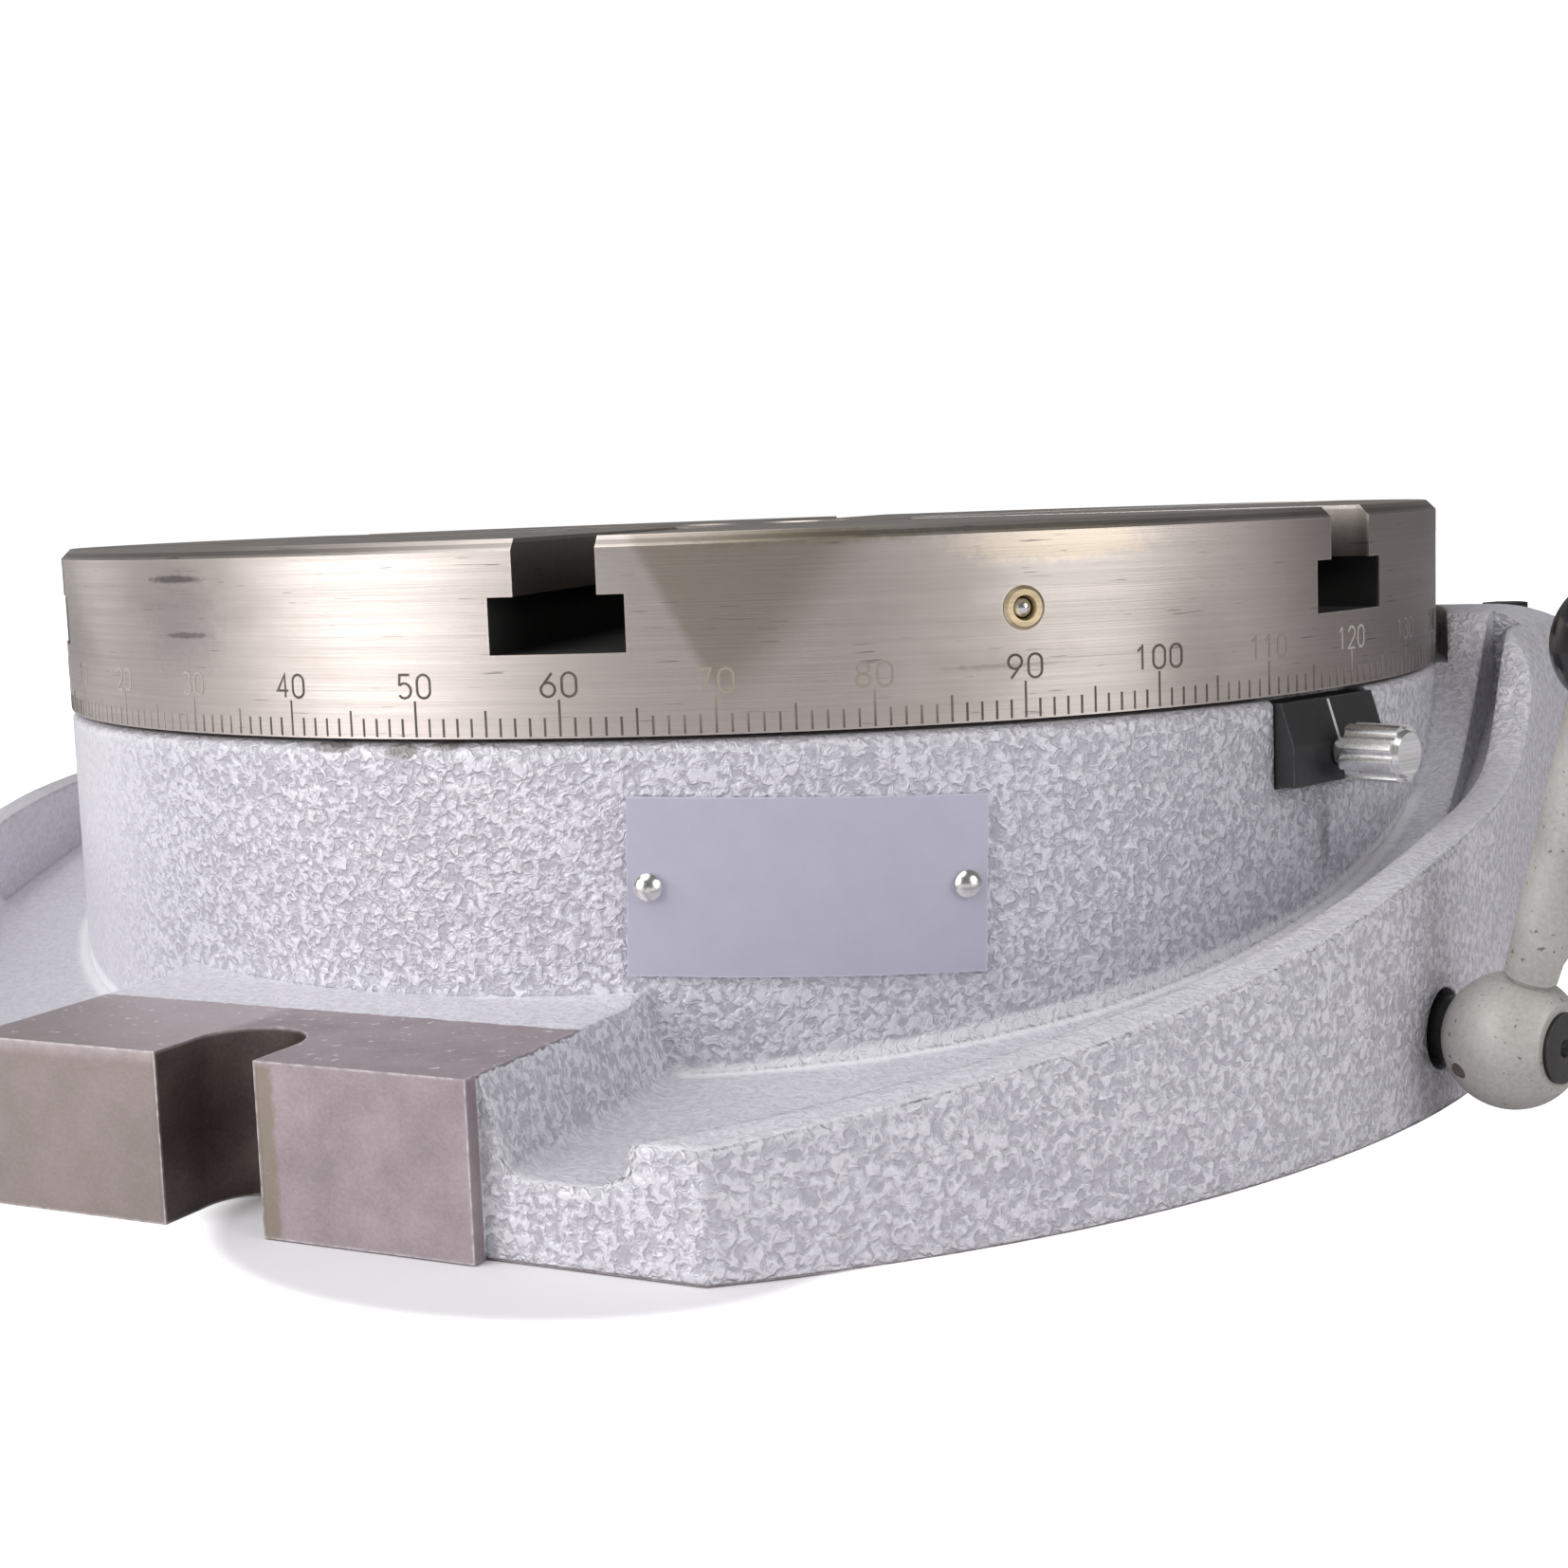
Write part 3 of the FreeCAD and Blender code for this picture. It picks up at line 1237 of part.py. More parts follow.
def handwheel_set():
    """The handwheel with its key, washer, nut and crank pin."""
    bore = value("shaft_end_radius + seat_gap")
    start = value(dial_start) + 0.1
    back = value(wheel_back)
    face = value(wheel_face)
    front = value(hub_front)
    rim = value("handwheel_radius")
    hub = value("wheel_hub_radius")
    steps = [
        (start, bore), (start, hub), (back, hub), (back, rim - 2), (back + 2, rim), (face - 2, rim),
        (face, rim - 2), (face, rim - 6), (face - 3, rim - 7.5), (face - 3, hub + 2), (front - 2, hub - 1),
        (front, hub - 3), (front, bore),
    ]
    spots = [Vector(along, 0, radius) for along, radius in steps]
    wheel = Part.Face(Part.makePolygon(spots + spots[:1])).revolve(Vector(), Vector(1, 0, 0), 360)
    wheel = Part.Solid(wheel) if wheel.ShapeType != "Solid" else wheel
    pin_radius = value("crank_pin_radius")
    circle_radius = value("crank_circle")
    pin_hole = cylinder(
        pin_radius - 1 + value("seat_gap"), Vector(back - 1, 0, circle_radius), WIDE_PAST, Vector(1, 0, 0)
    )
    boss = cylinder(pin_radius + 2.6, Vector(back + 1, 0, circle_radius), face - back, Vector(1, 0, 0))
    end = value("shaft_end_radius")
    half_key = value("key_width") / 2
    gap = value("seat_gap")
    key_low = Vector(start + 7.9, -half_key, end - 2.5)
    key_high = Vector(start + 23.9, half_key, end + 1.6)
    key_way = box(Vector(start - 1, -half_key - gap, 0), Vector(front + 1, half_key + gap, key_high.z + 0.1))
    wheel = wheel.fuse(boss).cut([pin_hole, key_way])
    made = [feature("handwheel", solid_of(wheel.removeSplitter()), WORM_PLACE)]
    key = box(key_low + Vector(gap, gap, gap), key_high - Vector(gap, gap, 0))
    made.append(feature("handwheel_key", key, WORM_PLACE))
    washer = new_body("handwheel_washer")
    revolve(washer, [
        (hub_front, "shaft_end_radius + 0.3"), (hub_front, "shaft_end_radius + 4"),
        (hub_front + " + 1.6", "shaft_end_radius + 4"), (hub_front + " + 1.6", "shaft_end_radius + 0.3"),
    ], axis="H_Axis")
    washer.Placement = WORM_PLACE
    nut = new_body("handwheel_nut")
    profile = new_sketch(nut, "YZ_Plane", hub_front + " + 1.6")
    polygon(profile, "0", "0", "shaft_end_radius + 4", 6)
    circle(profile, 0, 0, "shaft_end_radius + seat_gap")
    pad(nut, profile, "6")
    nut.Placement = WORM_PLACE
    crank = new_body("crank_pin")
    revolve(crank, [
        (wheel_back + " + 1", 0), (wheel_back + " + 1", "crank_pin_radius - 1"),
        (wheel_face + " + 1", "crank_pin_radius - 1"), (wheel_face + " + 1", "crank_pin_radius"),
        (wheel_face + " + 1 + 2 * free_gap + grip_length", "crank_pin_radius"),
        (wheel_face + " + 1 + 2 * free_gap + grip_length", "crank_pin_radius + 1.6"),
        (wheel_face + " + 3 + 2 * free_gap + grip_length", "crank_pin_radius + 0.6"),
        (wheel_face + " + 3 + 2 * free_gap + grip_length", 0),
    ], axis="H_Axis")
    crank_place = Placement(Vector(0, WORM_Y, WORM_Z + circle_radius), Rotation())
    crank.Placement = crank_place
    grip = new_body("crank_grip")
    low = wheel_face + " + 1 + free_gap"
    inner = "crank_pin_radius + running_gap"
    revolve(grip, [
        (low, inner), (low, "grip_radius - 2"), (low + " + 4", "grip_radius - 1"),
        (low + " + grip_length * 0.6", "grip_radius"), (low + " + grip_length - 4", "grip_radius - 0.4"),
        (low + " + grip_length", "grip_radius - 2"), (low + " + grip_length", inner),
    ], axis="H_Axis")
    grip.Placement = crank_place
    return made + [washer, nut, crank, grip]


def dial():
    """The graduated dial that slips on the handwheel's hub, and its lock screw."""
    body = new_body("dial")
    end = dial_start + " + dial_width"
    start = dial_start + " + free_gap"
    bore = "wheel_hub_radius + running_gap"
    revolve(body, [
        (start, bore), (start, "dial_radius - 1"), (start + " + 1", "dial_radius"),
        (end + " - 3.5", "dial_radius"), (end + " - 3.5", "dial_radius - 1"),
        (end, "dial_radius - 1"), (end, bore),
    ], axis="H_Axis")
    hole = new_sketch(body, "XY_Plane", "wheel_hub_radius - 1")
    circle(hole, start + " + dial_lock_station", 0, "dial_lock_radius + seat_gap")
    pocket(body, hole, "20", reverse=True)
    body.Placement = WORM_PLACE
    lock = new_body("dial_lock_screw")
    screw_tip = "wheel_hub_radius + free_gap + lock_screw_backoff"
    revolve(lock, [
        (0, screw_tip), ("dial_lock_radius", screw_tip),
        ("dial_lock_radius", "dial_radius + free_gap"), ("dial_lock_head_radius", "dial_radius + free_gap"),
        ("dial_lock_head_radius", "dial_radius + 3.6"), ("dial_lock_head_radius - 0.6", "dial_radius + 4.2"),
        (0, "dial_radius + 4.2"),
    ])
    station = value(start + " + dial_lock_station")
    lock.Placement = WORM_PLACE.multiply(Placement(Vector(station, 0, 0), Rotation()))
    return [body, lock]


def clamp_set(side, name):
    """One table clamp: cam shaft, ball hub, shank, knob, cross pin and plunger."""
    bearing = side * value("clamp_bearing")
    height = value("clamp_height")
    turn = Placement(Vector(0, 0, height), bearing_turn(bearing))
    radius = value("clamp_shaft_radius")
    wall = wall_distance(value("clamp_bearing"))
    neck = wall - value("clamp_neck_sunk")
    hub_at = wall + value("hub_standoff")
    face = hub_at + value("hub_face")
    circle_radius = value("plunger_circle")
    half_cam = value("plunger_radius") + 0.5
    inner = value("cavity_radius + clamp_bore_web") + 0.5
    axis = Vector(1, 0, 0)
    made = []

    nose = cylinder(radius, Vector(inner, 0, 0), circle_radius - half_cam - inner, axis)
    cam_start = Vector(circle_radius - half_cam - 0.1, -side * value("clamp_throw"), 0)
    cam = cylinder(value("cam_radius"), cam_start, 2 * half_cam + 0.2, axis)
    bar = cylinder(
        radius, Vector(circle_radius + half_cam, 0, 0), neck - circle_radius - half_cam, axis
    )
    tip = cylinder(radius - 1, Vector(neck - 1, 0, 0), face + 0.6 - neck + 1, axis)
    centre = Part.makeCone(0, 1.3, 1.6, Vector(face - 1, 0, 0), axis)
    shaft = nose.fuse([cam, bar, tip]).cut(centre).removeSplitter()
    made.append(feature("clamp_shaft_" + name, solid_of(shaft), turn))

    hub_radius = value("hub_radius")
    ball = Part.makeSphere(hub_radius, Vector(hub_at, 0, 0))
    ball = ball.cut(box(Vector(face, -20, -20), Vector(face + 20, 20, 20)))
    lean = value("shank_lean")
    lean_turn = Placement(Vector(hub_at, 0, 0), Rotation(Vector(0, 1, 0), lean))
    low_radius = value("shank_low_radius")
    socket = cylinder(low_radius - 0.7, Vector(0, 0, 3), 20)
    socket.Placement = lean_turn
    pin_line = cylinder(1.27, Vector(hub_at - 3.4, 0, -20), 40)
    pin_line.rotate(Vector(hub_at, 0, 0), axis, 112)
    hub = ball.cut([
        cylinder(radius - 1 + value("seat_gap"), Vector(neck, 0, 0), WIDE_PAST, axis),
        socket, pin_line,
    ])
    made.append(feature("clamp_hub_" + name, solid_of(hub), turn))

    length = value("shank_length")
    stem_start = radius + 0.4
    stem = cylinder(low_radius - 0.72, Vector(0, 0, stem_start), hub_radius - stem_start)
    foot = math.sqrt(hub_radius ** 2 - low_radius ** 2)
    taper = Part.makeCone(low_radius, value("shank_top_radius"), length - foot, Vector(0, 0, foot + 0.9))
    foot_plug = cylinder(low_radius - 0.72, Vector(0, 0, foot), 2)
    shank = stem.fuse([foot_plug, taper]).removeSplitter()
    shank_place = turn.multiply(lean_turn)
    made.append(feature("clamp_shank_" + name, solid_of(shank), shank_place))

    knob_radius = value("ball_radius")
    centre_height = length + 0.9 + knob_radius - 1.6
    knob = Part.makeSphere(knob_radius, Vector(0, 0, centre_height))
    knob = knob.cut(box(Vector(-20, -20, 0), Vector(20, 20, length + 0.95)))
    made.append(feature("clamp_knob_" + name, solid_of(knob), shank_place))

    pin = cylinder(1.25, Vector(hub_at - 3.4, 0, radius + 0.6 - 0.4), 9.0 - radius - 0.3)
    pin.rotate(Vector(hub_at, 0, 0), axis, 112)
    made.append(feature("clamp_pin_" + name, pin, turn))

    plunger_low = height + value("cam_radius") + 0.3
    plunger = cylinder(
        value("plunger_radius"), Vector(circle_radius, 0, plunger_low),
        value("rim_low") - value("plunger_drop") - plunger_low,
    )
    made.append(feature("clamp_plunger_" + name, plunger, Placement(Vector(), bearing_turn(bearing))))
    return made


def build_all():
    pieces = [base_casting(), rotary_table(), centre_sleeve()]
    pieces += oil_nipple()
    pieces.append(worm_wheel())
    pieces += table_fasteners()
    pieces.append(retainer_plate())
    pieces += bottom_cover()
    pieces += end_cap()
    pieces.append(oil_plug())
    pieces += nameplate()
    pieces.append(pointer_block())
    pieces.append(pointer_knob())
    pieces.append(eccentric_sleeve())
    pieces += bushes()
    pieces.append(vernier_collar())
    pieces += release_lever()
    pieces.append(worm_shaft())
    pieces += handwheel_set()
    pieces += dial()
    pieces += clamp_set(1, "right")
    pieces += clamp_set(-1, "left")
    return pieces


def check(pieces):
    for thing in doc.Objects:
        if "Invalid" in thing.State or "Error" in thing.State:
            raise RuntimeError("%s is %s" % (thing.Label, thing.State))
    for piece in pieces:
        if piece.Shape.isNull() or not piece.Shape.isValid() or not piece.Shape.Solids:
            raise RuntimeError("%s has no valid shape" % piece.Label)


def write(pieces):
    os.makedirs("parts", exist_ok=True)
    for piece in pieces:
        piece.Shape.exportStep(os.path.join("parts", piece.Label + ".step"))


made_pieces = build_all()
doc.recompute()
check(made_pieces)
write(made_pieces)
for piece in made_pieces:
    print("%-24s solids %2d  volume %12.1f" % (piece.Label, len(piece.Shape.Solids), piece.Shape.Volume))
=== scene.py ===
"""Looks of the rotary indexing table: engraved scales, hammered paint and machined finishes."""

import math

import bmesh
import bpy
from mathutils import Matrix, Vector


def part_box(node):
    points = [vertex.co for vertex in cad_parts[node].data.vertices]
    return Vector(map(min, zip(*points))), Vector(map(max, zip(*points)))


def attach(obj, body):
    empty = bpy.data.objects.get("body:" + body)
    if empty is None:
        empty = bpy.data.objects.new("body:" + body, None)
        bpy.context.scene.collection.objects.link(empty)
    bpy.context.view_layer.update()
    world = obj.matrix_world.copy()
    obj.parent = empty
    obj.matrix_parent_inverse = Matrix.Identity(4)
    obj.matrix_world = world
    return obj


bl_info = {
    "name": "Rotary indexing table",
    "version": (1, 0, 0),
    "blender": (4, 5, 0),
    "location": "View3D > Sidebar > Rotary table",
    "description": "Engraves the scales and dresses the metal of a rotary indexing table",
    "category": "Mesh",
}

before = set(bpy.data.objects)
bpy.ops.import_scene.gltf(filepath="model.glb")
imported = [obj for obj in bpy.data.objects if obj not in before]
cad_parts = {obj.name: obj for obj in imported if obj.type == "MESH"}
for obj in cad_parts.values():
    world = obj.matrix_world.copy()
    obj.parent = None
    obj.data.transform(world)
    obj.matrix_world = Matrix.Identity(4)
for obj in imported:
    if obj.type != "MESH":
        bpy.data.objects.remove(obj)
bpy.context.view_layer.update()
MM = 0.001

# Places on the machine, in millimetres, as the solids have them
RIM_RADIUS = 125.0
RIM_LOW = 60.0
RIM_TOP = 87.6
WORM_LINE = (104.0, 32.0)
SCALE_ZERO = -46.27
POINTER_BEARING = 70.0
POINTER_BROW = (127.6, 52.5)
POINTER_TOP = (125.4, 58.9)
# Height of the gutter floors as straight runs, each the rise per millimetre of depth and the
# height at depth 0
GUTTER_FLOOR = ((0.203, 35.85), (0.341, 42.55))
# Machined faces of the casting: low corner, high corner, and whether the border is ragged
BARE_FACES = (
    ((-40.4, -170.0, 23.0), (40.4, -137.6, 24.5), True),
    ((-40.1, -170.0, -1.0), (40.1, -162.2, 23.5), False),
    ((-8.3, -170.0, -1.0), (8.3, -147.6, 23.4), False),
    ((-170.0, -170.0, -1.0), (170.0, 170.0, 0.15), False),
    ((-145.0, 164.85, -1.0), (145.0, 167.0, 70.0), False),
    ((149.8, 70.0, 0.0), (152.0, 140.0, 70.0), False),
)
# Inside this distance from the axis the casting is bare
BARE_REACH = 119.0
# Marks on the casting and the rim: arc, distance and height of the centre, size, softness, tint
# and weight. The casting's are paint chipped off the barrel's top edge, and a painted shadow
# run below the pointer.
CASTING_MARKS = (
    ((-6.6, 125.0, 58.7), (4.6, 9.0, 0.9), 0.35, (0.30, 0.27, 0.28), 0.9),
    ((5.6, 125.0, 58.3), (3.2, 9.0, 1.2), 0.35, (0.30, 0.28, 0.27), 0.9),
    ((12.6, 125.0, 59.0), (2.6, 9.0, 0.7), 0.35, (0.32, 0.29, 0.28), 0.8),
    # painted shadow: a dark run on the barrel below the pointer block
    ((152.5, 125.0, 37.5), (2.6, 9.0, 7.5), 0.9, (0.10, 0.09, 0.11), 0.55),
)
# The rim's are a handled patch with two scratches, a warm painted highlight, an oily edge and a
# faint scratch
RIM_MARKS = (
    ((-37.0, RIM_RADIUS, 76.5), (15.0, 6.0, 10.0), 0.8, (0.36, 0.32, 0.33), 0.5),
    ((-38.4, RIM_RADIUS, 83.0), (9.5, 6.0, 0.75), 0.6, (0.14, 0.12, 0.12), 0.8),
    ((-36.6, RIM_RADIUS, 74.6), (8.0, 6.0, 0.6), 0.6, (0.16, 0.14, 0.14), 0.7),
    # painted highlight: a warm bright patch high on the rim
    ((101.0, RIM_RADIUS, 84.4), (20.0, 6.0, 3.4), 0.5, (0.80, 0.67, 0.50), 0.5),
    ((66.0, RIM_RADIUS, 86.4), (26.0, 6.0, 1.4), 0.7, (0.30, 0.26, 0.17), 0.6),
    ((92.0, RIM_RADIUS, 67.6), (13.0, 6.0, 0.5), 0.6, (0.30, 0.27, 0.24), 0.6),
)
# Engraved lines, in metres: lift off the metal, inset of the rim's lines, gap below its numerals
SKIN = 0.00003
SCALE_START = 0.00025
NUMERAL_GAP = 0.0004
# The pointer's index line, in metres: inset at both ends and width
INDEX_INSET = 0.0003
INDEX_WIDTH = 0.0006
# The dial carries a line every two minutes, the vernier's lie nine tenths as far apart
DIAL_LINES = 120
DIAL_START = 0.0012
DIAL_NUMERAL = 0.0021
VERNIER_STEP = 0.9
VERNIER_INSET = 0.0009
# Lamps: name, place, target, width, share of the key lamp's power
LAMPS = (
    ("key", (-0.60, -0.98, 0.42), (0.0, 0.0, 0.06), 0.95, 1.0),
    ("fill", (1.08, -0.27, 0.40), (0.0, 0.0, 0.06), 0.88, 0.5),
    ("side", (-1.30, 0.15, 0.30), (0.0, 0.0, 0.06), 0.6, 0.13),
    ("top", (-0.20, -0.50, 1.05), (0.0, -0.05, 0.04), 0.9, 0.65),
)
# The viewpoint: place in metres, then yaw, pitch and roll before the turn about the upright axis
CAMERA_PLACE = (0.19268, -0.38986, 0.090886)
CAMERA_ANGLES = (0.010597, 0.122045, 0.036440)
CAMERA_TURN = 26.3
CAMERA_LENS = 52.314
CAMERA_SENSOR = 36.0
# Soft shade on the floor in front of the lug: centre and radii
SHADE_CENTRE = (38.0, -149.0, 0.0)
SHADE_RADII = (48, 35)


# Settings that a user would change


class ScaleSettings(bpy.types.PropertyGroup):
    """Lines and numerals of the engraved scales."""

    line_width: bpy.props.FloatProperty(
        name="Line width", description="Width of an engraved line", default=0.00032, unit="LENGTH"
    )
    long_line: bpy.props.FloatProperty(
        name="Ten degree line", description="Height of the longest lines", default=0.00511,
        unit="LENGTH",
    )
    middle_line: bpy.props.FloatProperty(
        name="Five degree line", description="Height of the middle lines", default=0.0037,
        unit="LENGTH",
    )
    short_line: bpy.props.FloatProperty(
        name="One degree line", description="Height of the shortest lines", default=0.0026,
        unit="LENGTH",
    )
    numeral_height: bpy.props.FloatProperty(
        name="Numeral height", description="Height of the rim's numerals", default=0.0033,
        unit="LENGTH",
    )
    stroke_width: bpy.props.FloatProperty(
        name="Stroke width", description="Width of a numeral's strokes", default=0.00036,
        unit="LENGTH",
    )


class FinishSettings(bpy.types.PropertyGroup):
    """Colours of the paint and the metals."""

    paint_light: bpy.props.FloatVectorProperty(
        name="Paint", description="Crests of the hammered paint", default=(0.76, 0.745, 0.80),
        subtype="COLOR",
    )
    paint_dark: bpy.props.FloatVectorProperty(
        name="Paint valleys", description="Valleys of the hammered paint",
        default=(0.36, 0.35, 0.40), subtype="COLOR",
    )
    ground_iron: bpy.props.FloatVectorProperty(
        name="Ground iron", description="Machined faces of the casting",
        default=(0.37, 0.31, 0.325), subtype="COLOR",
    )
    rim_steel: bpy.props.FloatVectorProperty(
        name="Rim", description="Turned rim of the table", default=(0.57, 0.515, 0.48),
        subtype="COLOR",
    )
    plate_face: bpy.props.FloatVectorProperty(
        name="Plate", description="Bare nameplate", default=(0.50, 0.49, 0.59), subtype="COLOR"
    )
    lever_coat: bpy.props.FloatVectorProperty(
        name="Clamp lever", description="Ball and shank of the clamps", default=(0.44, 0.425, 0.40),
        subtype="COLOR",
    )


class StageSettings(bpy.types.PropertyGroup):
    """Floor, backdrop and studio light."""

    floor_colour: bpy.props.FloatVectorProperty(
        name="Floor", description="Colour of the floor", default=(0.80, 0.78, 0.81), subtype="COLOR"
    )
    lamp_power: bpy.props.FloatProperty(
        name="Lamp power", description="Power of the key lamp", default=7.8, unit="POWER"
    )
    room_light: bpy.props.FloatProperty(
        name="Room light", description="Strength of the light from the room", default=0.37
    )
    mirrored_light: bpy.props.FloatProperty(
        name="Mirrored room", description="Strength of the room in reflections", default=0.18
    )


# Nodes


def put(tree, kind, inputs=None, **settings):
    """Add a node. Inputs are plain values, or the sockets they are linked from."""
    node = tree.nodes.new(kind)
    for name, setting in settings.items():
        setattr(node, name, setting)
    for name, source in (inputs or {}).items():
        if isinstance(source, bpy.types.NodeSocket):
            tree.links.new(source, node.inputs[name])
        else:
            node.inputs[name].default_value = source
    return node


def calc(tree, operation, *values, clamp=False):
    """One step of arithmetic on single numbers."""
    node = put(tree, "ShaderNodeMath", dict(enumerate(values)), operation=operation, use_clamp=clamp)
    return node.outputs[0]


def vector(tree, operation, *values, scale=None):
    """One step of arithmetic on vectors."""
    inputs = dict(enumerate(values))
    if scale is not None:
        inputs["Scale"] = scale
    return put(tree, "ShaderNodeVectorMath", inputs, operation=operation).outputs[0]


def blend(tree, mask, first, second):
    """Mix two colours by a mask."""
    node = tree.nodes.new("ShaderNodeMix")
    node.data_type = "RGBA"
    for place, source in ((0, mask), (6, first), (7, second)):
        if isinstance(source, bpy.types.NodeSocket):
            tree.links.new(source, node.inputs[place])
        elif place == 0:
            node.inputs[place].default_value = source
        else:
            node.inputs[place].default_value = (*source[:3], 1)
    return node.outputs[2]


def ramp(tree, value, low, high, start=0.0, end=1.0, smooth=True):
    """Turn the stretch from low to high into start to end."""
    kind = "SMOOTHSTEP" if smooth else "LINEAR"
    inputs = {"Value": value, 1: low, 2: high, 3: start, 4: end}
    return put(tree, "ShaderNodeMapRange", inputs, interpolation_type=kind).outputs[0]


def noise(tree, position, scale, detail=2.0, rough=0.5):
    inputs = {"Vector": position, "Scale": scale, "Detail": detail, "Roughness": rough}
    return put(tree, "ShaderNodeTexNoise", inputs).outputs[0]


def new_group(name, inputs, outputs):
    """A node group with named sockets. Returns the tree, its inputs by name and its output node."""
    tree = bpy.data.node_groups.new(name, "ShaderNodeTree")
    for label, kind, default in inputs:
        kind = "NodeSocket" + kind
        socket = tree.interface.new_socket(name=label, in_out="INPUT", socket_type=kind)
        if default is not None:
            socket.default_value = default
    for label, kind in outputs:
        kind = "NodeSocket" + kind
        tree.interface.new_socket(name=label, in_out="OUTPUT", socket_type=kind)
    start = tree.nodes.new("NodeGroupInput")
    end = tree.nodes.new("NodeGroupOutput")
    return tree, start.outputs, end


def use(tree, name, inputs):
    """Place a group in a material and return its outputs."""
    node = put(tree, "ShaderNodeGroup", node_tree=bpy.data.node_groups[name])
    for label, source in inputs.items():
        if isinstance(source, bpy.types.NodeSocket):
            tree.links.new(source, node.inputs[label])
        else:
            node.inputs[label].default_value = source
    return node.outputs


def shade(colour, factor, lift=0.0):
    """A darker or lighter version of a colour."""
    return tuple(min(1.0, factor * part + lift) for part in colour)


def reach_of(tree, parts):
    """Distance from the upright axis."""
    squares = calc(tree, "ADD", calc(tree, "POWER", parts[0], 2), calc(tree, "POWER", parts[1], 2))
    return calc(tree, "SQRT", squares)


def inside(tree, position, low, high, softness=0.2):
    """The mask of a box with soft sides."""
    corners = {"Position": position, "Low": low, "High": high, "Softness": softness}
    return use(tree, "Region", corners)["Mask"]


def add_marks(tree, place, colour, marks):
    """Lay soft oval marks over a colour."""
    for centre, size, softness, tint, weight in marks:
        spot = {"Place": place, "Centre": centre, "Size": size, "Softness": softness}
        mask = use(tree, "Spot", spot)["Mask"]
        colour = blend(tree, calc(tree, "MULTIPLY", mask, weight), colour, tint)
    return colour


# Effects that several finishes share


def make_hammertone():
    """Hammered paint: flat beads between curling valleys. Gives tone, 1 on a bead, and height."""
    tree, given, end = new_group(
        "Hammertone",
        [("Position", "Vector", None), ("Bead", "Float", 2.0), ("Calm", "Float", 0.0)],
        [("Tone", "Float"), ("Height", "Float")],
    )
    fineness = calc(tree, "DIVIDE", 1.0, given["Bead"])
    curls = put(
        tree, "ShaderNodeTexNoise",
        {"Vector": given["Position"], "Scale": calc(tree, "MULTIPLY", fineness, 1.45), "Detail": 2.0,
         "Roughness": 0.5, "Distortion": 0.7},
    ).outputs[0]
    broad = noise(tree, given["Position"], calc(tree, "MULTIPLY", fineness, 0.22), 2.0)
    fine = noise(tree, given["Position"], calc(tree, "MULTIPLY", fineness, 2.6), 2.0)
    lively = calc(tree, "SUBTRACT", 1.0, given["Calm"])
    # the valleys crowd together in some places and thin out in others
    level = calc(tree, "MULTIPLY_ADD", calc(tree, "SUBTRACT", broad, 0.5), 0.12, curls)
    valley = calc(tree, "MULTIPLY", ramp(tree, level, 0.34, 0.60, 1.0, 0.0), lively)
    tone = calc(tree, "MULTIPLY_ADD", ramp(tree, fine, 0.3, 0.7), 0.22, 0.78)
    tone = calc(tree, "SUBTRACT", tone, calc(tree, "MULTIPLY", valley, 0.62), clamp=True)
    height = calc(tree, "MULTIPLY", ramp(tree, level, 0.34, 0.66), lively)
    height = calc(tree, "MULTIPLY_ADD", fine, 0.15, height)
    height = calc(tree, "MULTIPLY_ADD", broad, 0.5, height)
    tree.links.new(tone, end.inputs["Tone"])
    tree.links.new(height, end.inputs["Height"])


def make_turned_streaks():
    """Fine lines that run round a turned face, with slow changes along them."""
    tree, given, end = new_group(
        "Turned_Streaks",
        [("Position", "Vector", None), ("Fineness", "Float", 3.0)],
        [("Streak", "Float"), ("Height", "Float")],
    )
    parts = put(tree, "ShaderNodeSeparateXYZ", {0: given["Position"]}).outputs
    reach = reach_of(tree, parts)
    line = put(tree, "ShaderNodeCombineXYZ", {0: reach, 1: parts[2], 2: 0.0}).outputs[0]
    line = vector(tree, "SCALE", line, scale=given["Fineness"])
    slow = vector(tree, "MULTIPLY_ADD", given["Position"], (0.02, 0.02, 0.02), line)
    coarse = noise(tree, slow, 0.45, 4.0, 0.65)
    fine = noise(tree, slow, 2.5, 3.0, 0.6)
    both = calc(tree, "MULTIPLY_ADD", fine, 0.5, calc(tree, "MULTIPLY", coarse, 0.8))
    tree.links.new(ramp(tree, both, 0.35, 0.95), end.inputs["Streak"])
    tree.links.new(fine, end.inputs["Height"])


def make_grain():
    """Small irregular grain of ground or cast metal."""
    tree, given, end = new_group(
        "Metal_Grain",
        [("Position", "Vector", None), ("Grain", "Float", 0.5)],
        [("Tone", "Float"), ("Pits", "Float"), ("Height", "Float")],
    )
    fineness = calc(tree, "DIVIDE", 1.0, given["Grain"])
    fine = noise(tree, given["Position"], fineness, 4.0, 0.7)
    slow = noise(tree, given["Position"], calc(tree, "MULTIPLY", fineness, 0.06), 3.0)
    tone = calc(tree, "MULTIPLY_ADD", slow, 0.7, calc(tree, "MULTIPLY", fine, 0.6))
    pits = noise(tree, given["Position"], calc(tree, "MULTIPLY", fineness, 0.7), 1.0)
    tree.links.new(ramp(tree, tone, 0.35, 0.95), end.inputs["Tone"])
    tree.links.new(ramp(tree, pits, 0.68, 0.76), end.inputs["Pits"])
    tree.links.new(fine, end.inputs["Height"])
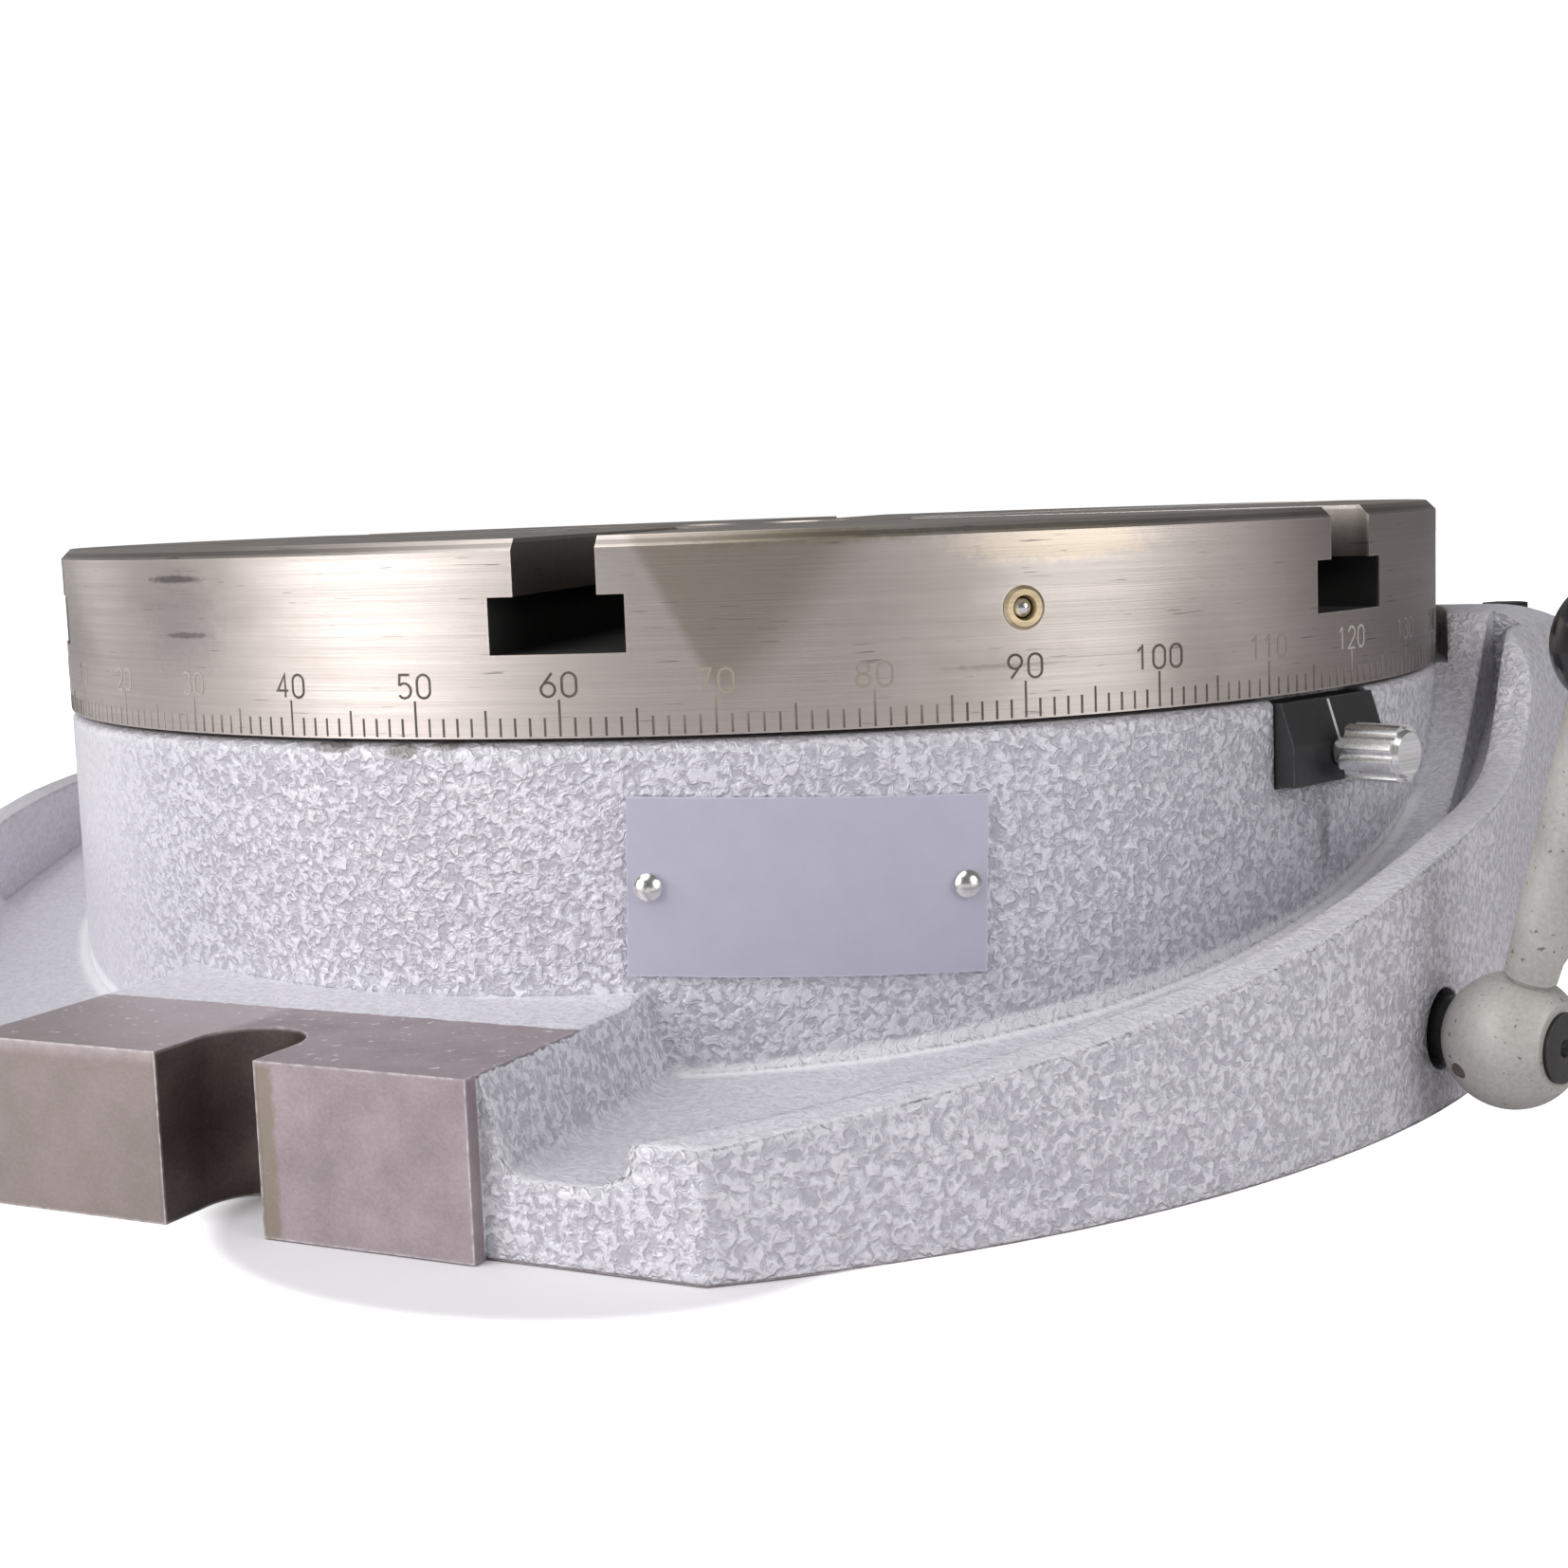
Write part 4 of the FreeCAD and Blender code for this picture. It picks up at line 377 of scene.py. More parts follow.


# Mask of edges, used for worn edges and also for painted highlights along crests
def make_edge_wear():
    """Where a sharp edge is, broken up along its length."""
    tree, given, end = new_group(
        "Edge_Wear_And_Highlight", [("Position", "Vector", None), ("Width", "Float", 0.0006)], [("Mask", "Float")]
    )
    rounded = put(tree, "ShaderNodeBevel", {"Radius": given["Width"]}, samples=4).outputs[0]
    true_normal = put(tree, "ShaderNodeNewGeometry").outputs["Normal"]
    both = {0: rounded, 1: true_normal}
    match = put(tree, "ShaderNodeVectorMath", both, operation="DOT_PRODUCT").outputs["Value"]
    edge = ramp(tree, match, 0.80, 0.995, 1.0, 0.0)
    reach = calc(tree, "MULTIPLY", given["Width"], 3.0)
    hollow = put(tree, "ShaderNodeAmbientOcclusion", {"Distance": reach}, samples=4, only_local=True)
    edge = calc(tree, "MULTIPLY", edge, ramp(tree, hollow.outputs["AO"], 0.75, 0.95))
    broken = ramp(tree, noise(tree, given["Position"], 0.7, 3.0), 0.35, 0.62, 0.25, 1.0)
    tree.links.new(calc(tree, "MULTIPLY", edge, broken, clamp=True), end.inputs["Mask"])


def make_cylinder_place():
    """A place on an upright cylinder as arc length from the front, distance and height."""
    tree, given, end = new_group(
        "Cylinder_Place", [("Position", "Vector", None)], [("Place", "Vector"), ("Reach", "Float")]
    )
    parts = put(tree, "ShaderNodeSeparateXYZ", {0: given["Position"]}).outputs
    reach = reach_of(tree, parts)
    bearing = calc(tree, "ARCTAN2", parts[0], calc(tree, "MULTIPLY", parts[1], -1.0))
    arc = calc(tree, "MULTIPLY", bearing, RIM_RADIUS)
    place = put(tree, "ShaderNodeCombineXYZ", {0: arc, 1: reach, 2: parts[2]}).outputs[0]
    tree.links.new(place, end.inputs["Place"])
    tree.links.new(reach, end.inputs["Reach"])


def make_spot():
    """A soft oval mark round a centre, with a ragged border."""
    tree, given, end = new_group(
        "Spot",
        [("Place", "Vector", None), ("Centre", "Vector", (0, 0, 0)), ("Size", "Vector", (1, 1, 1)),
         ("Softness", "Float", 0.3)],
        [("Mask", "Float")],
    )
    ragged = put(tree, "ShaderNodeTexNoise", {"Vector": given["Place"], "Scale": 0.9, "Detail": 3.0})
    ragged = vector(tree, "SUBTRACT", ragged.outputs["Color"], (0.5, 0.5, 0.5))
    away = vector(tree, "SUBTRACT", given["Place"], given["Centre"])
    away = vector(tree, "DIVIDE", away, given["Size"])
    away = vector(tree, "MULTIPLY_ADD", ragged, (0.9, 0.9, 0.9), away)
    reach = put(tree, "ShaderNodeVectorMath", {0: away}, operation="LENGTH").outputs["Value"]
    low = calc(tree, "SUBTRACT", 1.0, given["Softness"])
    tree.links.new(ramp(tree, reach, low, 1.0, 1.0, 0.0), end.inputs["Mask"])


def make_region():
    """Inside a box with soft sides, in millimetres."""
    tree, given, end = new_group(
        "Region",
        [("Position", "Vector", None), ("Low", "Vector", (0, 0, 0)), ("High", "Vector", (1, 1, 1)),
         ("Softness", "Float", 0.2)],
        [("Mask", "Float")],
    )
    above = vector(tree, "SUBTRACT", given["Position"], given["Low"])
    below = vector(tree, "SUBTRACT", given["High"], given["Position"])
    inside = vector(tree, "MINIMUM", above, below)
    parts = put(tree, "ShaderNodeSeparateXYZ", {0: inside}).outputs
    depth = calc(tree, "MINIMUM", calc(tree, "MINIMUM", parts[0], parts[1]), parts[2])
    soft = calc(tree, "DIVIDE", depth, given["Softness"])
    tree.links.new(calc(tree, "ADD", soft, 0.5, clamp=True), end.inputs["Mask"])


# Finishes


def surface(name):
    """A material with a Principled shader. Returns both, the tree and the place in millimetres."""
    material = bpy.data.materials.new(name)
    material.use_nodes = True
    tree = material.node_tree
    shader = tree.nodes["Principled BSDF"]
    place = put(tree, "ShaderNodeTexCoord").outputs["Object"]
    position = vector(tree, "SCALE", place, scale=1000.0)
    return material, tree, shader, position


def relief(tree, shader, height, depth, strength=1.0, normal=None):
    """Feed a height, in parts of depth metres, to the shader's normal."""
    bump = put(tree, "ShaderNodeBump", {"Height": height, "Distance": depth, "Strength": strength})
    if normal is not None:
        tree.links.new(normal, bump.inputs["Normal"])
    tree.links.new(bump.outputs[0], shader.inputs["Normal"])


def wire(tree, shader, **sources):
    """Link or set the shader's sockets, named with underscores."""
    for name, source in sources.items():
        socket = shader.inputs[name.replace("_", " ")]
        if isinstance(source, bpy.types.NodeSocket):
            tree.links.new(source, socket)
        else:
            socket.default_value = (*source, 1) if isinstance(source, tuple) else source


def hammered_casting(finish):
    """Silver-grey hammered paint over iron whose seats are machined bare."""
    material, tree, shader, position = surface("hammered_casting")
    spot = use(tree, "Cylinder_Place", {"Position": position})
    facing = put(tree, "ShaderNodeNewGeometry").outputs["Normal"]
    upward = put(tree, "ShaderNodeSeparateXYZ", {0: facing}).outputs[2]
    # the paint lies smoother on the gutter floors and round the left of the barrel, and is also
    # painted light there: upward faces and the barrel's left come out paler, as if lit
    level = ramp(tree, upward, 0.55, 0.9, 0.0, 0.6)
    arc = put(tree, "ShaderNodeSeparateXYZ", {0: spot["Place"]}).outputs[0]
    left = ramp(tree, arc, -75.0, -35.0, 0.75, 0.0)
    calm_and_lit = calc(tree, "MAXIMUM", level, left)
    paint = use(tree, "Hammertone", {"Position": position, "Bead": 1.9, "Calm": calm_and_lit})
    painted = blend(tree, paint["Tone"], tuple(finish.paint_dark), tuple(finish.paint_light))
    # painted highlight: near-white light along the rounded crests of the paint
    crest_highlight = use(tree, "Edge_Wear_And_Highlight", {"Position": position, "Width": 0.0022})["Mask"]
    painted = blend(tree, calc(tree, "MULTIPLY", crest_highlight, 0.9), painted, (0.94, 0.93, 0.96))
    # a painted highlight: a bright line along the fillet where the barrel stands in its gutters
    parts = put(tree, "ShaderNodeSeparateXYZ", {0: position}).outputs
    floors = [calc(tree, "MULTIPLY_ADD", parts[1], slope, start) for slope, start in GUTTER_FLOOR]
    above = calc(tree, "SUBTRACT", parts[2], calc(tree, "MAXIMUM", *floors))
    fillet_highlight = ramp(tree, spot["Reach"], RIM_RADIUS + 1.0, RIM_RADIUS + 2.6, 1.0, 0.0)
    fillet_highlight = calc(tree, "MULTIPLY", ramp(tree, above, 0.7, 1.7, 1.0, 0.0), fillet_highlight)
    painted = blend(tree, calc(tree, "MULTIPLY", fillet_highlight, 0.85), painted, (0.93, 0.92, 0.95))
    ragged = put(tree, "ShaderNodeTexNoise", {"Vector": position, "Scale": 0.6, "Detail": 3.0})
    centred = vector(tree, "ADD", position, (-0.8, -0.8, -0.8))
    shaken = vector(tree, "MULTIPLY_ADD", ragged.outputs["Color"], (1.6, 1.6, 1.6), centred)
    bare = calc(tree, "LESS_THAN", spot["Reach"], BARE_REACH)
    for low, high, has_ragged_border in BARE_FACES:
        source = shaken if has_ragged_border else position
        bare = calc(tree, "MAXIMUM", inside(tree, source, low, high), bare)
    grain = use(tree, "Metal_Grain", {"Position": position, "Grain": 0.45})
    iron = tuple(finish.ground_iron)
    metal = blend(tree, grain["Tone"], shade(iron, 0.80), shade(iron, 1.18))
    # dark iron with painted shade, for the inside of the slot
    slot_iron_shade = blend(tree, grain["Tone"], (0.05, 0.035, 0.03), (0.13, 0.10, 0.08))
    # olive on the left face of the lug, painted light on its left top, a yellow strip by the slot,
    # and dark iron with painted shade in the slot
    tints = (
        (position, (-60.0, -170.0, -1.0), (-8.0, -163.9, 23.2), 2.0, (0.26, 0.222, 0.18), 0.65),
        # painted light: the left top of the lug is paler, as if lit from the left
        (shaken, (-60.0, -170.0, 22.8), (-7.0, -120.0, 26.0), 3.0, (0.62, 0.54, 0.55), 0.8),
        (shaken, (8.0, -170.0, -1.0), (10.8, -163.9, 22.6), 0.8, (0.25, 0.21, 0.15), 0.7),
        # painted shade: the slot's inside is darkened over its dark iron
        (position, (-8.4, -164.3, 0.0), (8.4, -140.0, 23.0), 0.6, slot_iron_shade, 0.85),
    )
    for source, low, high, softness, tint, weight in tints:
        mask = inside(tree, source, low, high, softness)
        metal = blend(tree, calc(tree, "MULTIPLY", mask, weight), metal, tint)
    edge = use(tree, "Edge_Wear_And_Highlight", {"Position": position, "Width": 0.0007})["Mask"]
    bright = blend(tree, edge, metal, (0.74, 0.70, 0.70))
    colour = blend(tree, bare, painted, bright)
    colour = add_marks(tree, spot["Place"], colour, CASTING_MARKS)
    lift = calc(tree, "MULTIPLY", paint["Height"], calc(tree, "SUBTRACT", 1.0, bare))
    lift = calc(tree, "MULTIPLY_ADD", calc(tree, "MULTIPLY", grain["Height"], bare), 0.12, lift)
    # painted corners are rounded over, machined ones stay sharp
    rounded = put(tree, "ShaderNodeBevel", {"Radius": 0.0024}, samples=6).outputs[0]
    turned = tree.nodes.new("ShaderNodeMix")
    turned.data_type = "VECTOR"
    for place, source in ((0, bare), (4, rounded), (5, facing)):
        tree.links.new(source, turned.inputs[place])
    relief(tree, shader, lift, 0.0004, 0.8, turned.outputs[1])
    metallic = calc(tree, "MULTIPLY_ADD", bare, 0.5, 0.2)
    rough = ramp(tree, paint["Tone"], 0.0, 1.0, 0.5, 0.40, smooth=False)
    rough = calc(tree, "MULTIPLY_ADD", bare, 0.05, rough)
    coat = calc(tree, "MULTIPLY", calc(tree, "SUBTRACT", 1.0, bare), 0.2)
    wire(
        tree, shader, Base_Color=colour, Metallic=metallic, Roughness=rough, Coat_Weight=coat,
        Coat_Roughness=0.3,
    )
    return material


def hammered_cover(finish):
    """The same paint on the small covers."""
    material, tree, shader, position = surface("hammered_cover")
    paint = use(tree, "Hammertone", {"Position": position, "Bead": 1.6})
    colour = blend(tree, paint["Tone"], tuple(finish.paint_dark), tuple(finish.paint_light))
    relief(tree, shader, paint["Height"], 0.00035, 0.8)
    rough = ramp(tree, paint["Tone"], 0.0, 1.0, 0.46, 0.34, smooth=False)
    wire(tree, shader, Base_Color=colour, Metallic=0.35, Roughness=rough, Coat_Weight=0.25)
    return material


def turned_table(finish):
    """The table: turned rim, ground face, stains, and oily slots painted dark inside as shade."""
    material, tree, shader, position = surface("turned_table")
    parts = put(tree, "ShaderNodeSeparateXYZ", {0: position}).outputs
    streak = use(tree, "Turned_Streaks", {"Position": position, "Fineness": 2.2})
    base = tuple(finish.rim_steel)
    steel = blend(tree, streak["Streak"], shade(base, 0.87), shade(base, 1.10))
    # handling stains in broad patches, drawn out a little round the rim
    drawn = vector(tree, "MULTIPLY", position, (1.0, 1.0, 2.2))
    stain = ramp(tree, noise(tree, drawn, 0.028, 4.0, 0.6), 0.50, 0.70)
    steel = blend(tree, calc(tree, "MULTIPLY", stain, 0.35), steel, (0.38, 0.33, 0.28))
    spot = use(tree, "Cylinder_Place", {"Position": position})
    arc = put(tree, "ShaderNodeSeparateXYZ", {0: spot["Place"]}).outputs[0]
    # a painted dark reflection between two slanting edges, right of the front slot
    left = calc(tree, "SUBTRACT", arc, calc(tree, "MULTIPLY_ADD", parts[2], -0.532, 87.07))
    right = calc(tree, "SUBTRACT", calc(tree, "MULTIPLY_ADD", parts[2], 0.823, 1.2), arc)
    dark_reflection = calc(tree, "MULTIPLY", ramp(tree, left, -1.2, 1.2), ramp(tree, right, -5.0, 6.0))
    dark_reflection = calc(tree, "MULTIPLY", dark_reflection, ramp(tree, parts[2], 64.0, 71.0, 0.35, 1.0))
    on_rim = ramp(tree, spot["Reach"], RIM_RADIUS - 3.0, RIM_RADIUS - 1.0)
    dark_reflection = calc(tree, "MULTIPLY", dark_reflection, on_rim)
    steel = blend(tree, calc(tree, "MULTIPLY", dark_reflection, 0.62), steel, (0.30, 0.25, 0.19))
    # painted reflection: the rim darkens from the pointer on round the right and the back
    rim_dark_reflection = calc(tree, "MULTIPLY", ramp(tree, arc, 132.0, 156.0, 0.0, 0.62), on_rim)
    steel = blend(tree, rim_dark_reflection, steel, (0.27, 0.23, 0.215))
    steel = add_marks(tree, spot["Place"], steel, RIM_MARKS)
    # short dark scratches along the rim
    level = vector(tree, "MULTIPLY", position, (0.12, 0.12, 3.0))
    scratch = ramp(tree, noise(tree, level, 1.0, 2.0, 0.4), 0.70, 0.74)
    steel = blend(tree, calc(tree, "MULTIPLY", scratch, 0.6), steel, (0.12, 0.10, 0.09))
    edge = use(tree, "Edge_Wear_And_Highlight", {"Position": position, "Width": 0.0006})["Mask"]
    steel = blend(tree, calc(tree, "MULTIPLY", edge, 0.6), steel, (0.74, 0.69, 0.64))
    # the slots: a little darker as oily iron, and painted near black deep inside as shade
    below = calc(tree, "LESS_THAN", parts[2], RIM_TOP - 0.6)
    above = calc(tree, "GREATER_THAN", parts[2], RIM_LOW + 0.4)
    inner = calc(tree, "LESS_THAN", spot["Reach"], RIM_RADIUS - 0.4)
    slot = calc(tree, "MULTIPLY", calc(tree, "MULTIPLY", below, above), inner)
    deep_slot_shade = calc(tree, "MULTIPLY", slot, calc(tree, "LESS_THAN", parts[2], RIM_TOP - 7.9))
    colour = blend(tree, calc(tree, "MULTIPLY", slot, 0.45), steel, (0.10, 0.085, 0.075))
    colour = blend(tree, deep_slot_shade, colour, (0.012, 0.011, 0.010))
    relief(tree, shader, streak["Height"], 0.00006, 0.35)
    rough = ramp(tree, streak["Streak"], 0.0, 1.0, 0.42, 0.33, smooth=False)
    rough = calc(tree, "MULTIPLY_ADD", deep_slot_shade, 0.4, rough)
    metal = calc(tree, "SUBTRACT", 1.0, calc(tree, "MULTIPLY", deep_slot_shade, 0.9))
    wire(tree, shader, Base_Color=colour, Metallic=metal, Roughness=rough)
    return material


def along_worm(tree, position):
    """Places measured about the worm's axis, so that streaks run round it."""
    shifted = vector(tree, "SUBTRACT", position, (0.0, *WORM_LINE))
    parts = put(tree, "ShaderNodeSeparateXYZ", {0: shifted}).outputs
    return put(tree, "ShaderNodeCombineXYZ", {0: parts[1], 1: parts[2], 2: parts[0]}).outputs[0]


def turned_metal(name, colour, rough, round_worm=False, fineness=3.0, metal=1.0):
    """A turned or ground metal with fine lines and worn edges."""
    material, tree, shader, position = surface(name)
    place = along_worm(tree, position) if round_worm else position
    streak = use(tree, "Turned_Streaks", {"Position": place, "Fineness": fineness})
    tone = blend(tree, streak["Streak"], shade(colour, 0.72), shade(colour, 1.18))
    edge = use(tree, "Edge_Wear_And_Highlight", {"Position": position, "Width": 0.0004})["Mask"]
    tone = blend(tree, calc(tree, "MULTIPLY", edge, 0.6), tone, shade(colour, 1.5, 0.05))
    relief(tree, shader, streak["Height"], 0.00004, 0.3)
    shine = ramp(tree, streak["Streak"], 0.0, 1.0, rough + 0.08, rough - 0.05, smooth=False)
    wire(tree, shader, Base_Color=tone, Metallic=metal, Roughness=shine)
    return material


def grained_metal(
    name, colour, rough, grain=0.5, metal=1.0, pits=0.0, edge_colour=None, mottle=1.0
):
    """A metal with fine grain, faint pits and worn edges."""
    material, tree, shader, position = surface(name)
    marks = use(tree, "Metal_Grain", {"Position": position, "Grain": grain})
    dark, light = shade(colour, 1 - 0.25 * mottle), shade(colour, 1 + 0.2 * mottle)
    tone = blend(tree, marks["Tone"], dark, light)
    tone = blend(tree, calc(tree, "MULTIPLY", marks["Pits"], pits), tone, shade(colour, 0.25))
    edge = use(tree, "Edge_Wear_And_Highlight", {"Position": position, "Width": 0.0004})["Mask"]
    worn = edge_colour or shade(colour, 1.6, 0.04)
    tone = blend(tree, calc(tree, "MULTIPLY", edge, 0.7), tone, worn)
    relief(tree, shader, marks["Height"], 0.00005, 0.3)
    shine = ramp(tree, marks["Tone"], 0.0, 1.0, rough + 0.07, rough - 0.05, smooth=False)
    wire(tree, shader, Base_Color=tone, Metallic=metal, Roughness=shine)
    return material


def moulded_plastic(name, colour, rough):
    """Glossy moulded plastic with faint flow marks."""
    material, tree, shader, position = surface(name)
    marks = use(tree, "Metal_Grain", {"Position": position, "Grain": 0.9})
    tone = blend(tree, marks["Tone"], shade(colour, 0.8), shade(colour, 1.3))
    relief(tree, shader, marks["Height"], 0.00003, 0.2)
    shine = ramp(tree, marks["Tone"], 0.0, 1.0, rough + 0.06, rough - 0.04, smooth=False)
    wire(tree, shader, Base_Color=tone, Roughness=shine, Coat_Weight=0.3)
    return material


def engraving(name, colour, worn=()):
    """Darkened bottom of an engraved line. Worn boxes on the cylinder have lost their colour."""
    material, tree, shader, position = surface(name)
    marks = use(tree, "Metal_Grain", {"Position": position, "Grain": 0.35})
    tone = blend(tree, marks["Tone"], shade(colour, 0.7), shade(colour, 1.5))
    place = use(tree, "Cylinder_Place", {"Position": position})["Place"]
    for low, high, tint, weight in worn:
        mask = inside(tree, place, low, high, 6.0)
        tone = blend(tree, calc(tree, "MULTIPLY", mask, weight), tone, tint)
    shine = ramp(tree, marks["Tone"], 0.0, 1.0, 0.65, 0.45, smooth=False)
    wire(tree, shader, Base_Color=tone, Metallic=0.3, Roughness=shine)
    return material


def dress(material, *nodes):
    """Give CAD nodes a finish."""
    for name in nodes:
        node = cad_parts[name]
        node.data.materials.clear()
        node.data.materials.append(material)


# Engraved lines and numerals

# Worn places of the rim scale: low and high arc, distance and height, what shows there and how far
WORN = (
    ((-80.0, 100.0, 40.0), (-36.0, 140.0, 100.0), (0.42, 0.38, 0.36), 0.8),
    ((-80.0, 100.0, 62.6), (-24.0, 140.0, 100.0), (0.50, 0.45, 0.43), 0.75),
    ((45.0, 100.0, 62.6), (59.0, 140.0, 100.0), (0.52, 0.47, 0.36), 0.62),
    ((64.0, 100.0, 62.6), (83.0, 140.0, 100.0), (0.52, 0.47, 0.38), 0.55),
    ((130.0, 100.0, 62.6), (148.0, 140.0, 100.0), (0.55, 0.51, 0.48), 0.5),
    ((152.0, 100.0, 62.6), (172.0, 140.0, 100.0), (0.62, 0.58, 0.54), 0.85),
    ((172.0, 100.0, 40.0), (200.0, 140.0, 100.0), (0.32, 0.28, 0.26), 0.85),
)


def bow(centre, size, start, end, steps=10):
    """Points along an arc of an ellipse, angles in degrees."""
    points = []
    for index in range(steps + 1):
        angle = math.radians(start + (end - start) * index / steps)
        points.append((centre[0] + size[0] * math.cos(angle), centre[1] + size[1] * math.sin(angle)))
    return points


# Strokes of the single-line numerals, in a cell one unit high and 0.62 wide
NUMERALS = {
    "0": [
        bow((0.31, 0.70), (0.31, 0.30), 0, 180) + bow((0.31, 0.30), (0.31, 0.30), 180, 360)
        + [(0.62, 0.70)]
    ],
    "1": [[(0.10, 0.80), (0.34, 1.0), (0.34, 0.0)]],
    "2": [bow((0.31, 0.70), (0.30, 0.30), 170, -30, 9) + [(0.0, 0.0), (0.62, 0.0)]],
    "3": [
        bow((0.29, 0.75), (0.27, 0.25), 150, -90, 8),
        bow((0.29, 0.27), (0.31, 0.27), 90, -150, 9),
    ],
    "4": [[(0.46, 0.0), (0.46, 1.0), (0.0, 0.30), (0.62, 0.30)]],
    "5": [[(0.56, 1.0), (0.08, 1.0), (0.05, 0.58)] + bow((0.29, 0.32), (0.32, 0.32), 128, -145, 10)],
    "6": [[(0.50, 1.0), (0.12, 0.52)] + bow((0.31, 0.30), (0.31, 0.30), 145, -215, 16)],
    "7": [[(0.0, 1.0), (0.60, 1.0), (0.20, 0.0)]],
    "8": [
        bow((0.31, 0.76), (0.25, 0.24), 270, -90, 14),
        bow((0.31, 0.27), (0.31, 0.27), 90, 450, 14),
    ],
    "9": [[(0.12, 0.0), (0.50, 0.48)] + bow((0.31, 0.70), (0.31, 0.30), -35, 325, 16)],
}
NUMERAL_STEP = 0.92


def ribbon(mesh, points, width, wrap, skin):
    """One engraved stroke: a thin closed band along the points, wrapped on to its surface."""
    half = width / 2
    rows = []
    for index, point in enumerate(points):
        before = Vector(points[max(index - 1, 0)])
        after = Vector(points[min(index + 1, len(points) - 1)])
        here = Vector(point)
        way_in = (here - before).normalized() if index else (after - here).normalized()
        way_out = (after - here).normalized() if index < len(points) - 1 else way_in
        along = (way_in + way_out).normalized()
        across = Vector((-along.y, along.x))
        stretch = half / max(across.dot(Vector((-way_in.y, way_in.x))), 0.5)
        left = here + across * stretch
        right = here - across * stretch
        rows.append([
            mesh.verts.new(wrap(spot.x, spot.y, depth))
            for spot, depth in ((left, skin), (right, skin), (right, -4 * skin), (left, -4 * skin))
        ])
    for first, second in zip(rows, rows[1:]):
        for side in range(4):
            turn = (side + 1) % 4
            mesh.faces.new((first[side], first[turn], second[turn], second[side]))
    mesh.faces.new(rows[0])
    mesh.faces.new(rows[-1][::-1])


def write_number(mesh, text, middle, base, height, width, wrap, skin):
    """Write a number centred on middle, standing on base."""
    pitch = NUMERAL_STEP * height
    length = pitch * (len(text) - 1) + 0.62 * height
    left = middle - length / 2
    for place, digit in enumerate(text):
        for stroke in NUMERALS[digit]:
            points = [(left + place * pitch + x * height, base + y * height) for x, y in stroke]
            ribbon(mesh, points, width, wrap, skin)


def piece_from(mesh, name, body, material):
    """Make an object of the mesh that rides on a body."""
    bmesh.ops.recalc_face_normals(mesh, faces=mesh.faces)
    data = bpy.data.meshes.new(name)
    mesh.to_mesh(data)
    mesh.free()
    data.materials.append(material)
    made = bpy.data.objects.new(name, data)
    bpy.context.scene.collection.objects.link(made)
    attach(made, body)
    return made


def rim_wrap(along, up, out):
    """A place on the rim: along is the arc length from the label 0, towards higher labels."""
    bearing = math.radians(SCALE_ZERO) + along / (RIM_RADIUS * MM)
    radius = RIM_RADIUS * MM + out
    return (radius * math.sin(bearing), -radius * math.cos(bearing), RIM_LOW * MM + up)


def pointer_wrap(along, up, out):
    """A place on the pointer's sloped brow: along runs across it, up runs towards the rim."""
    slope = Vector(POINTER_TOP) - Vector(POINTER_BROW)
    slope.normalize()
    reach = POINTER_BROW[0] * MM + up * slope.x + out * slope.y
    height = POINTER_BROW[1] * MM + up * slope.y - out * slope.x
    bearing = math.radians(POINTER_BEARING)
    side = Vector((math.cos(bearing), math.sin(bearing)))
    place = Vector((math.sin(bearing), -math.cos(bearing))) * reach + side * along
    return (place.x, place.y, height)


def about_worm(radius):
    """A wrap round the worm's axis: along goes round, up is along +X, and 0 is on top."""

    def wrap(along, up, out):
        angle = along / radius
        reach = radius + out
        y, z = (value * MM for value in WORM_LINE)
        return (up, y + reach * math.sin(angle), z + reach * math.cos(angle))

    return wrap


# Operators


class ROTAB_OT_effects(bpy.types.Operator):
    """Build the shared effects: hammertone, turned lines, grain, worn and highlighted edges, and
    regions
    """

    bl_idname = "rotab.effects"
    bl_label = "Shared effects"

    def execute(self, context):
        make_hammertone()
        make_turned_streaks()
        make_grain()
        make_edge_wear()
        make_cylinder_place()
        make_spot()
        make_region()
        return {"FINISHED"}


class ROTAB_OT_casting(bpy.types.Operator):
    """Paint the casting and its covers"""

    bl_idname = "rotab.casting"
    bl_label = "Casting"

    def execute(self, context):
        finish = context.scene.rotab_finish
        dress(hammered_casting(finish), "base_casting")
        dress(hammered_cover(finish), "end_cap")
        plates = grained_metal("oiled_steel", (0.34, 0.33, 0.32), 0.38)
        dress(plates, "bottom_cover", "retainer_plate")
        dress(
            grained_metal("black_oxide", (0.022, 0.021, 0.022), 0.34, metal=0.6),
            "oil_plug", "end_cap_screws", "bottom_cover_screws", "retainer_screws",
            "worm_wheel_screws",
        )
        return {"FINISHED"}


class ROTAB_OT_table(bpy.types.Operator):
    """Finish the table, its centre sleeve and the ball oiler"""

    bl_idname = "rotab.table"
    bl_label = "Table"

    def execute(self, context):
        dress(turned_table(context.scene.rotab_finish), "rotary_table")
        dress(
            turned_metal("ground_steel", (0.62, 0.60, 0.57), 0.24),
            "centre_sleeve", "clamp_plunger_right", "clamp_plunger_left",
        )
        dress(turned_metal("oiler_brass", (0.58, 0.47, 0.30), 0.36, fineness=1.0), "oil_nipple_cup")
        dress(grained_metal("oiler_ball", (0.70, 0.69, 0.68), 0.16), "oil_nipple_ball")
        dress(turned_metal("wheel_bronze", (0.50, 0.34, 0.16), 0.34), "worm_wheel")
        return {"FINISHED"}


